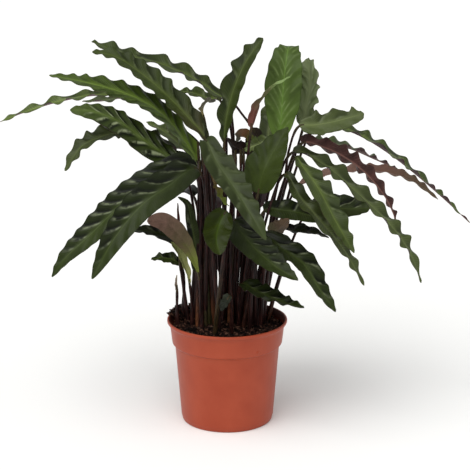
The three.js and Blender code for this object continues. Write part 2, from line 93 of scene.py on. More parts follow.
for name, light in LIGHTS.items():
    lamp = bpy.data.lights.new(name, "SUN")
    lamp.angle = math.radians(light["spread_degrees"])
    lamp.energy = light["strength"]
    holder = bpy.data.objects.new(name, lamp)
    holder.rotation_euler = Vector(light["comes_from"]).to_track_quat("Z", "Y").to_euler()
    bpy.context.collection.objects.link(holder)
print(len(LIGHTS), "lights")

# %% [markdown]
# ## Meshes
# Meshes are worked out with numpy in millimetres and turned into Blender objects by one function. It
# also smooths them, keeps edges sharp above a given angle, and stores values at the vertices for the
# materials to read. bmesh could build them too, but it's slow for whole grids of points.

# %% Mesh helper
USUAL_SHARPNESS = 40


def make_object(name, points, faces, materials, face_slots=None, values=None,
                sharp_degrees=USUAL_SHARPNESS):
    """A mesh object from points in mm. values holds named vectors, one for each point."""
    mesh = bpy.data.meshes.new(name)
    mesh.from_pydata((np.asarray(points) * MM).tolist(), [], [tuple(map(int, f)) for f in faces])
    for material in materials:
        mesh.materials.append(material)
    if face_slots is not None:
        mesh.polygons.foreach_set("material_index", np.asarray(face_slots, np.int32))
    for label, vectors in (values or {}).items():
        layer = mesh.attributes.new(label, "FLOAT_VECTOR", "POINT")
        layer.data.foreach_set("vector", np.asarray(vectors, np.float32).ravel())
    mesh.polygons.foreach_set("use_smooth", np.ones(len(mesh.polygons), bool))
    mesh.set_sharp_from_angle(angle=math.radians(sharp_degrees))
    mesh.update()
    piece = bpy.data.objects.new(name, mesh)
    bpy.context.collection.objects.link(piece)
    return piece


# %% [markdown]
# ## Colours and materials
# Colours are written as sRGB hex values, as a paint chart gives them, and shaders need linear ones. A
# material starts as a Principled shader whose even values are set on its own sockets. One function
# adds any node with its settings and links.


# %% Colour and node helpers
def linear(hex_colour):
    channels = [int(hex_colour[k:k + 2], 16) / 255 for k in (1, 3, 5)]
    curve = [c / 12.92 if c <= 0.04045 else ((c + 0.055) / 1.055) ** 2.4 for c in channels]
    return (*curve, 1.0)


def add(tree, kind, settings=None, inputs=None):
    """Adds a shader node. An input is a plain value, or another node's output to link."""
    made = tree.nodes.new("ShaderNode" + kind)
    for label, value in (settings or {}).items():
        setattr(made, label, value)
    for label, value in (inputs or {}).items():
        if isinstance(value, bpy.types.NodeSocket):
            tree.links.new(value, made.inputs[label])
        else:
            made.inputs[label].default_value = value
    return made


def new_material(name, shader_inputs):
    """A Principled material whose plain values are set on the shader's own sockets."""
    material = bpy.data.materials.new(name)
    material.use_nodes = True
    tree = material.node_tree
    tree.nodes.clear()
    shader = add(tree, "BsdfPrincipled", None, shader_inputs)
    add(tree, "OutputMaterial", None, {"Surface": shader.outputs["BSDF"]})
    return material, tree, shader


print("#808080 is", round(linear("#808080")[0], 3), "in linear light")

# %% [markdown]
# ## Floor
# The floor is matt white board: it shows no gloss and only takes the shadow.

# %% Floor
FLOOR_HALF = 9000

board = new_material("matt_white_board", {"Base Color": linear("#f4f4f2"), "Roughness": 0.9})[0]
corners = [(x * FLOOR_HALF, y * FLOOR_HALF, 0) for x, y in ((-1, -1), (1, -1), (1, 1), (-1, 1))]
floor = make_object("floor", corners, [(0, 1, 2, 3)], [board])
print("floor", 2 * FLOOR_HALF * MM, "m wide")

# %% [markdown]
# ## The pot
# A nursery pot is injection moulded from polypropylene in a terracotta colour. Its wall is 1.6 mm
# thick, so the collar shows as a step on the outside and the rim is a thin lip with a rounded edge.
# A profile turned about the axis gives all of that. The corners of the profile are rounded by short
# curves, which catch the light as moulded corners do. A Bevel modifier could round them too, but it
# gives every corner the same width.

# %% Turned shapes
CURVE_POINTS = 5
LONGEST_CUT = 0.45


def rounded(corners):
    """A profile from (radius, height, fillet) corners, each cut back and rounded by a short curve."""
    profile = []
    for k, (radius, height, fillet) in enumerate(corners):
        corner = np.array([radius, height], float)
        if fillet == 0 or k in (0, len(corners) - 1):
            profile.append(corner)
            continue
        start, end = (
            corner + way / np.linalg.norm(way) * min(fillet, LONGEST_CUT * np.linalg.norm(way))
            for way in (np.array(corners[other][:2], float) - corner for other in (k - 1, k + 1)))
        for t in np.linspace(0, 1, CURVE_POINTS):
            profile.append((1 - t) ** 2 * start + 2 * t * (1 - t) * corner + t * t * end)
    return np.array(profile)


def turned(profile, sides):
    """Points and faces of a profile that starts and ends on the axis, turned about Z."""
    inner = profile[1:-1]
    angles = 2 * math.pi * np.arange(sides) / sides
    rings = np.stack([np.outer(inner[:, 0], np.cos(angles)), np.outer(inner[:, 0], np.sin(angles)),
                      np.repeat(inner[:, 1:], sides, 1)], -1)
    points = np.concatenate([rings.reshape(-1, 3), [[0, 0, profile[0][1]]], [[0, 0, profile[-1][1]]]])
    last = (len(inner) - 1) * sides
    faces = []
    for k in range(sides):
        after = (k + 1) % sides
        faces.append((len(points) - 2, after, k))
        faces.append((len(points) - 1, last + k, last + after))
        for ring in range(0, last, sides):
            faces.append((ring + k, ring + after, ring + sides + after, ring + sides + k))
    return points, faces


# %% [markdown]
# ### Moulded polypropylene
# The mould gives the plastic a satin face, with a faint mottle in the colour and flow lines that run
# up the wall. Noise stretched along the height makes those. Inside the rim the wall above the peat is
# painted darker, as painted shade in the hollow of the pot: the dark fills a cone that meets the wall
# just inside the lip, so one mask on the distance from the axis finds it. The grain of the mould, about
# 1 mm here, is drawn coarser than the real one, which is too fine to show. The size of a pattern is
# given in mm, and a texture wants to know how often it repeats in a metre.

# %% Pot material
MOTTLE = 23.8
FLOW = dict(across=3.17, along=47.6)
MOULD_GRAIN = 1.11
RIM_SHADE = dict(slope=0.386, edge=20.8, blur=0.5)


def repeats(size):
    """How often a pattern of this size in mm repeats in a metre."""
    return 1 / (size * MM)


def pot_material():
    """Moulded polypropylene: satin, with faint flow lines, and painted shade inside the rim."""
    material, tree, shader = new_material("moulded_terracotta_polypropylene", {
        "IOR": 1.49, "Specular IOR Level": 0.3})
    position = add(tree, "NewGeometry").outputs["Position"]
    mottle = add(tree, "TexNoise", None, {"Vector": position, "Scale": repeats(MOTTLE), "Detail": 4.0})
    body = add(tree, "ValToRGB", None, {"Fac": mottle.outputs["Fac"]})
    for stop, place, colour in zip(body.color_ramp.elements, (0.3, 0.7), ("#953a20", "#9e4227")):
        stop.position = place
        stop.color = linear(colour)

    parts = add(tree, "SeparateXYZ", None, {0: position}).outputs
    flat = add(tree, "CombineXYZ", None, {"X": parts["X"], "Y": parts["Y"]})
    from_axis = add(tree, "VectorMath", {"operation": "LENGTH"}, {0: flat.outputs[0]})
    # Painted shade: the wall inside the rim, above the peat, is darkened where the hollow of the pot lies in
    # shade
    from_cone = add(tree, "Math", {"operation": "MULTIPLY_ADD"}, {
        0: parts["Z"], 1: -RIM_SHADE["slope"], 2: from_axis.outputs["Value"]})
    inside = add(tree, "MapRange", None, {
        "Value": from_cone.outputs[0], "From Min": (RIM_SHADE["edge"] + RIM_SHADE["blur"]) * MM,
        "From Max": RIM_SHADE["edge"] * MM})
    painted_rim_shade = add(tree, "Mix", {"data_type": "RGBA"}, {
        0: inside.outputs["Result"], 6: body.outputs["Color"], 7: linear("#4a2016")})
    tree.links.new(painted_rim_shade.outputs[2], shader.inputs["Base Color"])

    across, along = repeats(FLOW["across"]), repeats(FLOW["along"])
    stretched = add(tree, "VectorMath", {"operation": "MULTIPLY"}, {0: position, 1: (across, across, along)})
    flow = add(tree, "TexNoise", None, {"Vector": stretched.outputs[0], "Scale": 1.0, "Detail": 2.0})
    rough = add(tree, "MapRange", None, {"Value": flow.outputs["Fac"], "To Min": 0.36, "To Max": 0.5})
    tree.links.new(rough.outputs["Result"], shader.inputs["Roughness"])
    grain = add(tree, "TexNoise", None, {"Vector": position, "Scale": repeats(MOULD_GRAIN), "Detail": 3.0})
    both = add(tree, "Math", {"operation": "ADD"}, {0: grain.outputs["Fac"], 1: flow.outputs["Fac"]})
    bump = add(tree, "Bump", None, {"Height": both.outputs[0], "Strength": 0.25, "Distance": 0.2 * MM})
    tree.links.new(bump.outputs["Normal"], shader.inputs["Normal"])
    return material


plastic = pot_material()
print(plastic.name, "has", len(plastic.node_tree.nodes), "nodes")

# %% [markdown]
# ### The shell
# The foot is a ring, the floor is raised inside it, and eight drain holes go through the floor. A
# Boolean with one mesh that holds all eight rods cuts them in one go. The rods are joined by counting
# each one's points on from the last, which is quick and keeps their order.

# %% Pot
RIM_RADIUS = 70.0
POT_HEIGHT = 122.0
FOOT_RADIUS = 53.2
COLLAR_HEIGHT = 92.0
COLLAR_RADIUS = 64.3
BODY_TOP_RADIUS = 61.0
WALL = 1.6
FLOOR_TOP = 4.5
HOLLOW = dict(inner=14.0, outer=41.0, depth=2.5)
POT_SIDES = 144
DRAINS = dict(count=8, radius=4.0, circle=28.0, sides=32)

POT_CORNERS = [
    (0, 0, 0), (HOLLOW["inner"] - 1, 0, 0.5), (HOLLOW["inner"], HOLLOW["depth"], 0.5),
    (HOLLOW["outer"], HOLLOW["depth"], 0.6), (HOLLOW["outer"] + 1, 0, 0.6),
    (FOOT_RADIUS - 0.6, 0, 1.8), (FOOT_RADIUS + 0.6, 5, 1.5),
    (FOOT_RADIUS + 0.9, 6, 0.6), (BODY_TOP_RADIUS, COLLAR_HEIGHT, 1.0),
    (COLLAR_RADIUS - 0.3, COLLAR_HEIGHT + 2.2, 1.2), (COLLAR_RADIUS, COLLAR_HEIGHT + 3.6, 0.8),
    (RIM_RADIUS - 3.5, POT_HEIGHT - 8, 1.5), (RIM_RADIUS - 2.6, POT_HEIGHT - 5.6, 1.2),
    (RIM_RADIUS, POT_HEIGHT - 3, 1.2), (RIM_RADIUS, POT_HEIGHT, 0.9),
    (RIM_RADIUS - 2.4, POT_HEIGHT, 0.9), (RIM_RADIUS - 3.5 - WALL, POT_HEIGHT - 7, 2.0),
    (COLLAR_RADIUS - WALL, COLLAR_HEIGHT + 4, 1.5), (BODY_TOP_RADIUS - WALL, COLLAR_HEIGHT + 1, 1.5),
    (FOOT_RADIUS + 0.9 - WALL, FLOOR_TOP, 2.0), (0, FLOOR_TOP, 0),
]


def cut(piece, tool):
    """Cuts tool out of piece with a Boolean, keeps the result and deletes the tool."""
    change = piece.modifiers.new("cut", "BOOLEAN")
    change.operation = "DIFFERENCE"
    change.solver = "EXACT"
    change.object = tool
    result = bpy.data.meshes.new_from_object(piece.evaluated_get(bpy.context.evaluated_depsgraph_get()))
    piece.modifiers.clear()
    piece.data = result
    bpy.data.objects.remove(tool)


def joined(parts):
    """One mesh from several, each given as (points, faces)."""
    points, faces = [], []
    for part_points, part_faces in parts:
        offset = len(points)
        points.extend(part_points)
        faces.extend(tuple(index + offset for index in face) for face in part_faces)
    return np.array(points), faces


def rod(radius, height, sides, centre):
    profile = np.array([(0, -height / 2), (radius, -height / 2), (radius, height / 2), (0, height / 2)])
    points, faces = turned(profile, sides)
    return points + np.array(centre), faces


pot = make_object("nursery_pot", *turned(rounded(POT_CORNERS), POT_SIDES), [plastic])
rods = []
for k in range(DRAINS["count"]):
    angle = 2 * math.pi * (k + 0.5) / DRAINS["count"]
    centre = (DRAINS["circle"] * math.cos(angle), DRAINS["circle"] * math.sin(angle), 0)
    rods.append(rod(DRAINS["radius"], 4 * FLOOR_TOP, DRAINS["sides"], centre))
cut(pot, make_object("drill", *joined(rods), []))
pot.data.set_sharp_from_angle(angle=math.radians(USUAL_SHARPNESS))
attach(pot, "root")
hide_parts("pot")
print("pot", len(pot.data.polygons), "faces")

# %% [markdown]
# ### The moulding pip
# A small round pip stands on the collar, to the right of the front. It is a turned dome of the same
# plastic, sunk into the wall, because a Boolean union would gain nothing.

# %% Moulding pip
PIP = dict(radius=1.5, height=98.5, angle=math.radians(-57), edge=1.2, rings=9, sides=20)
PIP_CENTRE = COLLAR_RADIUS + 0.3

arc = [(math.cos(a), math.sin(a)) for a in np.linspace(-PIP["edge"], PIP["edge"], PIP["rings"])]
pip_points, pip_faces = turned(PIP["radius"] * np.array([(0.0, -1.0), *arc, (0.0, 1.0)]), PIP["sides"])
pip_points += (PIP_CENTRE * math.cos(PIP["angle"]), PIP_CENTRE * math.sin(PIP["angle"]), PIP["height"])
pip = make_object("moulding_pip", pip_points, pip_faces, [plastic])
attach(pip, "root")
print("pip", 2 * PIP["radius"], "mm across")

# %% [markdown]
# ## The peat
# Potting peat is nearly black brown fibre, dull and crumbly, which soaks up most of the light. Two
# sizes of noise are enough for it: a coarse one mixes dark wet hollows, brown crumbs and a few pale
# fibres, and a fine one is the relief. Its specular level is low, since wet fibre has little gloss.

# %% Peat material
CRUMB_MOTTLE = 4.35
FIBRE_GRAIN = 1.11


def peat_material():
    """Peat: very dark, dull crumbs in mixed browns, with darker wet hollows and few pale fibres."""
    material, tree, shader = new_material("potting_peat", {
        "Roughness": 0.8, "IOR": 1.4, "Specular IOR Level": 0.12})
    position = add(tree, "NewGeometry").outputs["Position"]
    coarse = add(tree, "TexNoise", None, {"Vector": position, "Scale": repeats(CRUMB_MOTTLE), "Detail": 3.0})
    ramp = add(tree, "ValToRGB", None, {"Fac": coarse.outputs["Fac"]})
    stops = ramp.color_ramp.elements
    stops.new(0.69)
    for stop, place, colour in zip(stops, (0.43, 0.56, 0.69), ("#0a0605", "#2e1b15", "#6a4c3d")):
        stop.position = place
        stop.color = linear(colour)
    tree.links.new(ramp.outputs["Color"], shader.inputs["Base Color"])
    fine = add(tree, "TexNoise", None, {"Vector": position, "Scale": repeats(FIBRE_GRAIN), "Detail": 4.0})
    bump = add(tree, "Bump", None, {"Height": fine.outputs["Fac"], "Strength": 0.9, "Distance": 1.0 * MM})
    tree.links.new(bump.outputs["Normal"], shader.inputs["Normal"])
    return material


peat = peat_material()
print(peat.name, "has", len(peat.node_tree.nodes), "nodes")

# %% [markdown]
# ### The surface of the peat
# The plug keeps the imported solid's surface, a shallow relief with a mound of bark at the back left, and
# noise roughens it. The plug is turned like the pot, and then each point on its top is lifted to the
# height that one function gives: the solid's own waves, calm near the wall, the mound, and the noise.
# Everything that lies on the peat asks the same function.

# %% Peat surface
SOIL_TOP = 112.0
CRUMB_RELIEF = 1.1
MOUND = dict(x=-45.0, y=34.0, radius=15.0, height=14.0)
ROUGHNESS = dict(height=1.3, grain=4.0, layer=3.1, fineness=0.8, step=2.2, octaves=4)
WALL_FLARE = 1.4
SOIL_EDGE = COLLAR_RADIUS - WALL + WALL_FLARE
CALM_RIM = 8
CLEARANCE = 0.3
SOIL_SIDES = 150
SOIL_RINGS = 60


def soil_height(x, y):
    """The peat's surface above the origin, in mm: crumbs in shallow waves, and the mound."""
    waves = math.sin(x / 5.1 + 0.7) * math.cos(y / 6.3) + 0.6 * math.sin(x / 2.9 - y / 3.7)
    away = math.hypot(x - MOUND["x"], y - MOUND["y"]) / MOUND["radius"]
    place = Vector((x / ROUGHNESS["grain"], y / ROUGHNESS["grain"], ROUGHNESS["layer"]))
    rough = ROUGHNESS["height"] * noise.fractal(
        place, ROUGHNESS["fineness"], ROUGHNESS["step"], ROUGHNESS["octaves"])
    calm = min(1.0, (SOIL_EDGE - math.hypot(x, y)) / CALM_RIM)
    return SOIL_TOP + calm * (CRUMB_RELIEF * waves + MOUND["height"] * math.exp(-away * away)) + rough


side = [(FOOT_RADIUS + 0.9 - WALL - CLEARANCE, FLOOR_TOP + CLEARANCE),
        (BODY_TOP_RADIUS - WALL - CLEARANCE, COLLAR_HEIGHT + 1),
        (COLLAR_RADIUS - WALL - CLEARANCE, COLLAR_HEIGHT + 4)]
top = [(radius, SOIL_TOP) for radius in np.linspace(SOIL_EDGE, 0, SOIL_RINGS)]
soil_points, soil_faces = turned(np.array([(0, FLOOR_TOP + CLEARANCE)] + side + top), SOIL_SIDES)
for point in soil_points:
    if point[2] > SOIL_TOP - 0.01:
        point[2] = soil_height(point[0], point[1])
soil = make_object("peat", soil_points, soil_faces, [peat], sharp_degrees=80)
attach(soil, "root")
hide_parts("soil")
print("peat", len(soil.data.polygons), "faces, highest at", round(soil_points[:, 2].max(), 1), "mm")

# %% [markdown]
# ### Crumbs and bark
# Loose crumbs are broken lumps from under a millimetre to several millimetres, sunk by a good third of
# their height. A lump starts as an icosahedron. Its corners are pulled in and out at random and it is
# squashed and turned, which gives flat broken faces. Bark bits are the same lump, longer and flatter:
# some lie on the mound, and a heap of them runs from there over the rim. They could be scattered as
# instances, but one mesh is lighter and needs no other object. Everything is drawn with one fixed seed.

# %% Crumbs and bark
CRUMBS = dict(count=1400, from_wall=1.2, smallest=0.9, span=3.4, stretch=(1, 0.8, 0.7))
BARK = dict(count=70, from_wall=4, spread=7, sizes=(2.0, 4.6), stretch=(1.5, 0.8, 0.45))
HEAP = dict(count=150, angles=(142, 172), sizes=(1.6, 4.0), stretch=(1.4, 0.8, 0.5),
            start_radius=54, reach=15.5, start_height=118, climb=7, thickness=5)
GOLD = (1 + math.sqrt(5)) / 2
LUMP = np.array([(-1, GOLD, 0), (1, GOLD, 0), (-1, -GOLD, 0), (1, -GOLD, 0), (0, -1, GOLD), (0, 1, GOLD),
                 (0, -1, -GOLD), (0, 1, -GOLD), (GOLD, 0, -1), (GOLD, 0, 1), (-GOLD, 0, -1), (-GOLD, 0, 1)])
LUMP_RADIUS = 1.9
LUMP_FACES = [(0, 11, 5), (0, 5, 1), (0, 1, 7), (0, 7, 10), (0, 10, 11), (1, 5, 9), (5, 11, 4), (11, 10, 2),
              (10, 7, 6), (7, 1, 8), (3, 9, 4), (3, 4, 2), (3, 2, 6), (3, 6, 8), (3, 8, 9), (4, 9, 5),
              (2, 4, 11), (6, 2, 10), (8, 6, 7), (9, 8, 1)]
CORNER_PULL = (0.7, 1.15)
TURN = 6.28
TIP = 0.6
STANDS_OUT = 0.25
chance = np.random.default_rng(7)


def lump(size, stretch, at):
    pull = chance.uniform(*CORNER_PULL, (len(LUMP), 1))
    yaw, pitch = chance.uniform(0, TURN), chance.uniform(-TIP, TIP)
    spin = np.array([(math.cos(yaw), -math.sin(yaw), 0), (math.sin(yaw), math.cos(yaw), 0), (0, 0, 1)])
    tip = np.array([(math.cos(pitch), 0, math.sin(pitch)), (0, 1, 0), (-math.sin(pitch), 0, math.cos(pitch))])
    return (LUMP / LUMP_RADIUS * pull * size * np.array(stretch)) @ (spin @ tip).T + np.array(at)


def on_peat(x, y, size, stretch):
    return lump(size, stretch, (x, y, soil_height(x, y) + STANDS_OUT * size * stretch[2]))


def lumps_object(name, lumps, material):
    piece = make_object(name, *joined([(points, LUMP_FACES) for points in lumps]), [material],
                        sharp_degrees=25)
    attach(piece, "root")


dark_bits = []
for k in range(CRUMBS["count"]):
    radius = (SOIL_EDGE - CRUMBS["from_wall"]) * math.sqrt(chance.uniform())
    angle = chance.uniform(0, 2 * math.pi)
    size = CRUMBS["smallest"] + CRUMBS["span"] * chance.uniform() ** 2
    dark_bits.append(on_peat(radius * math.cos(angle), radius * math.sin(angle), size, CRUMBS["stretch"]))
for k in range(BARK["count"]):
    x, y = MOUND["x"] + chance.normal(0, BARK["spread"]), MOUND["y"] + chance.normal(0, BARK["spread"])
    if math.hypot(x, y) < SOIL_EDGE - BARK["from_wall"]:
        dark_bits.append(on_peat(x, y, chance.uniform(*BARK["sizes"]), BARK["stretch"]))
for k in range(HEAP["count"]):
    outward = chance.uniform()
    angle = math.radians(chance.uniform(*HEAP["angles"]))
    radius = HEAP["start_radius"] + HEAP["reach"] * outward
    height = HEAP["start_height"] + HEAP["climb"] * outward
    height += HEAP["thickness"] * chance.uniform() * (1 - abs(2 * outward - 1))
    dark_bits.append(lump(chance.uniform(*HEAP["sizes"]), HEAP["stretch"],
                          (radius * math.cos(angle), radius * math.sin(angle), height)))
lumps_object("peat_crumbs", dark_bits, peat)
print(len(dark_bits), "crumbs and bits of bark")

# %% [markdown]
# ### Grit
# Pale grains of mineral grit stick to the wall inside, above the peat on the left. They are the same
# lumps again, small and dull, and they follow the slant of the wall.

# %% Grit
GRIT = dict(count=60, angles=(165, 250), heights=(114, 120), sizes=(0.5, 1.1), stretch=(1, 0.8, 0.6))
GRIT_WALL = dict(radius=64.6, height=113, flare=0.5)

grains = []
for k in range(GRIT["count"]):
    angle = math.radians(chance.uniform(*GRIT["angles"]))
    height = chance.uniform(*GRIT["heights"])
    radius = GRIT_WALL["radius"] + GRIT_WALL["flare"] * (height - GRIT_WALL["height"])
    grains.append(lump(chance.uniform(*GRIT["sizes"]), GRIT["stretch"],
                       (radius * math.cos(angle), radius * math.sin(angle), height)))
mineral = new_material("pale_mineral_grit", {"Base Color": linear("#b39a7d"), "Roughness": 0.85})[0]
lumps_object("grit", grains, mineral)
print(len(grains), "grains of grit")

# %% [markdown]
# ### Fine roots
# A few fine roots, dry and pale brown, lie between the crumbs. A curve with a bevel would do, but a
# three-sided thread is enough at half a millimetre. It walks over the peat in short steps and turns a
# little at each one.

# %% Fine roots
ROOTLETS = dict(count=30, radius=0.25, ridge=1.6, within=58, from_wall=2, points=7, step=2.6, bend=0.3,
                lift=0.9)

root_points, root_faces = [], []
for k in range(ROOTLETS["count"]):
    angle, heading = chance.uniform(0, 2 * math.pi, 2)
    x, y = ROOTLETS["within"] * math.sqrt(chance.uniform()) * np.array([math.cos(angle), math.sin(angle)])
    for step in range(ROOTLETS["points"]):
        if math.hypot(x, y) > SOIL_EDGE - ROOTLETS["from_wall"]:
            break
        centre = np.array([x, y, soil_height(x, y) + ROOTLETS["lift"]])
        aside = np.array([-math.sin(heading), math.cos(heading), 0]) * ROOTLETS["radius"]
        start = len(root_points)
        above = (0, 0, ROOTLETS["ridge"] * ROOTLETS["radius"])
        root_points += [centre - aside, centre + aside, centre + above]
        if step:
            root_faces += [(start - 3 + a, start - 3 + b, start + b, start + a)
                           for a, b in ((0, 1), (1, 2), (2, 0))]
        heading += chance.normal(0, ROOTLETS["bend"])
        x, y = x + ROOTLETS["step"] * math.cos(heading), y + ROOTLETS["step"] * math.sin(heading)
root_skin = new_material("dry_fine_root", {"Base Color": linear("#6a5443"), "Roughness": 0.8})[0]
rootlets = make_object("fine_roots", root_points, root_faces, [root_skin])
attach(rootlets, "root")
print(ROOTLETS["count"], "fine roots,", len(root_faces), "faces")

# %% [markdown]
# ## The leaves
# Each row below is one leaf. root is where its stalk leaves the peat, in mm from the pot's axis. rib
# holds picture points along the midrib from the blade's base to its tip, as (across, down, depth):
# across and down in the 470 x 470 frame, and depth in mm behind the pot's axis. stalk holds any such
# points before them. roll turns the blade about its rib, in degrees at the base and at the tip, and
# heading is the way that a nearly upright blade leans.
#
# The rest is given only where a leaf differs from the usual: wave, pitch and fold are the height and
# the length of its waves in mm and the angle of its two halves, lag=1 sets the waves of the two edges
# against each other, and rise and fall are the powers by which the blade widens from its base and
# narrows to its tip. scallop is how deep the waves cut into its outline, both=True quilts its two
# halves alike, tone makes the leaf lighter or darker than others of its kind, partly as painted light
# and shade for how much light reaches it in the bunch, shade darkens its base, which stands between
# the others, and look names another surface than the usual one of its kind.

# %% [markdown]
# ### Leaves on the left
# Two broad dark blades hang low in front, four more fan out above them, three long wavy ones reach far
# to the left, and a small one stands behind. Where they overlap in the picture, their depths step back.

# %% Leaves on the left
LEAVES = [
    dict(name="left_low_front", kind="dark", root=(-26, 2), width=42, roll=(-34, -42), rise=0.32,
         tone=0.85, shade=0.45,
         rib=[(198, 169, -14), (167, 187, -44), (143, 204, -62), (116, 236, -78), (92, 279, -86)]),
    dict(name="left_low", kind="dark", root=(-34, 8), width=39, roll=(-36, -40), rise=0.5, shade=0.4,
         rib=[(192, 161, 9), (160, 175, -14), (121, 205, -24), (90, 235, -28), (66, 257.5, -32),
              (52, 277, -34)]),
    dict(name="left_mid", kind="dark", root=(-31, 22), width=40, roll=(-40, -42), fall=0.6, fold=-5, lag=1,
         both=True, tone=1.9, shade=0.45,
         rib=[(193, 168, 28), (168, 156, 27), (145, 140.5, 21), (120, 122, 8), (93, 111.5, -4),
              (70, 110, -10)]),
    dict(name="left_folded", kind="grey", root=(-42, 28), width=30, roll=(-10, -30), pitch=21, fall=0.65,
         tone=0.85,
         stalk=[(194, 212, 32)],
         rib=[(176, 152, 62), (146, 136, 62), (118, 133, 52), (100, 137, 39), (81.5, 146.5, 30),
              (65, 171, 24)]),
    dict(name="left_bright", kind="bright", root=(-24, 34), width=42, roll=(-34, -14), fall=0.6, fold=8,
         both=True, tone=1.05,
         rib=[(198, 165, 56), (184, 140, 54), (163, 114.5, 45), (138, 98.5, 40), (110, 88.5, 35),
              (84, 82, 30), (49, 75.3, 26)]),
    dict(name="left_far", kind="green", root=(-24, 43), width=20, roll=(-14, -14), wave=2.6, pitch=28,
         fall=0.65, lag=1, tone=2,
         stalk=[(203, 170, 67)],
         rib=[(168, 117, 66), (136, 98.5, 68), (100, 94.5, 68), (60, 101, 66), (22, 113, 64),
              (0, 122, 62)]),
    dict(name="upper_left", kind="green", look="rusty", root=(-14, 38), width=37, roll=(-32, -22),
         fall=0.6, lag=1, tone=0.9,
         rib=[(206, 141, 40), (190, 119.5, 46), (166, 94.5, 52), (141, 73, 54), (115, 56.5, 54),
              (92, 52, 54)]),
    dict(name="upper_left_long", kind="green", root=(-2, 46), width=29, roll=(-14, -14), wave=3.2,
         pitch=29, fall=0.5,
         rib=[(229, 106, 66), (212, 90.5, 72), (192, 77.5, 78), (160, 63.5, 86), (125, 54.5, 91),
              (91.5, 41.8, 92)]),
    dict(name="behind_left", kind="red", root=(-19, 50), width=24, roll=(-12, -16), tone=1.6,
         stalk=[(206, 155, 80)],
         rib=[(176, 124, 88), (150, 106, 96), (124, 98, 99), (100, 101, 101), (82, 101.5, 102)]),
    dict(name="behind_small", kind="green", root=(-10, 48), width=20, roll=(-20, -20), lag=1, tone=2.4,
         rib=[(221, 101, 86), (208, 98, 90), (193, 93, 96), (178, 91, 104)]),
]
print(len(LEAVES), "leaves so far")

# %% [markdown]
# ### Upright leaves
# Four stand nearly upright. A blade that stands has no clear way up, so heading says which way it
# would lean, and its upper face is found from that.

# %% Upright leaves
LEAVES += [
    dict(name="top_tall", kind="green", root=(0, 32), width=30, roll=(50, 38), pitch=26, rise=0.8,
         fall=0.6, lag=1, scallop=0.3, tone=0.75,
         rib=[(224, 143, 34), (226, 120, 33), (233.5, 90, 34), (247, 60, 38), (263, 38, 44)]),
    dict(name="top_broad", kind="bright", look="chevron", root=(18, 32), width=43, roll=(0, 0), heading=90,
         wave=1.6, rise=0.9, fall=1.15, fold=5, tone=0.92,
         rib=[(278, 145, 42), (281, 118, 44), (284, 80, 50), (287, 55, 60), (289, 46, 78), (290, 56, 98)]),
    dict(name="top_right", kind="grey", look="pale_painted_light", root=(24, 38), width=41, roll=(-6, -6), heading=60,
         wave=2, pitch=16, rise=0.4, fall=0.5, lag=1, scallop=0.5, both=True, tone=2,
         rib=[(303, 127, 74), (306, 108, 73), (310, 88, 72), (309, 70, 74), (306, 59, 82)]),
    dict(name="top_thin", kind="red", root=(8, 16), width=11, roll=(-50, 35), wave=1.6, tone=1.9,
         rib=[(251, 128, 16), (254, 112, 14), (263, 97, 9), (275, 85, 3), (290, 77, -4)]),
]
print(len(LEAVES), "leaves so far")
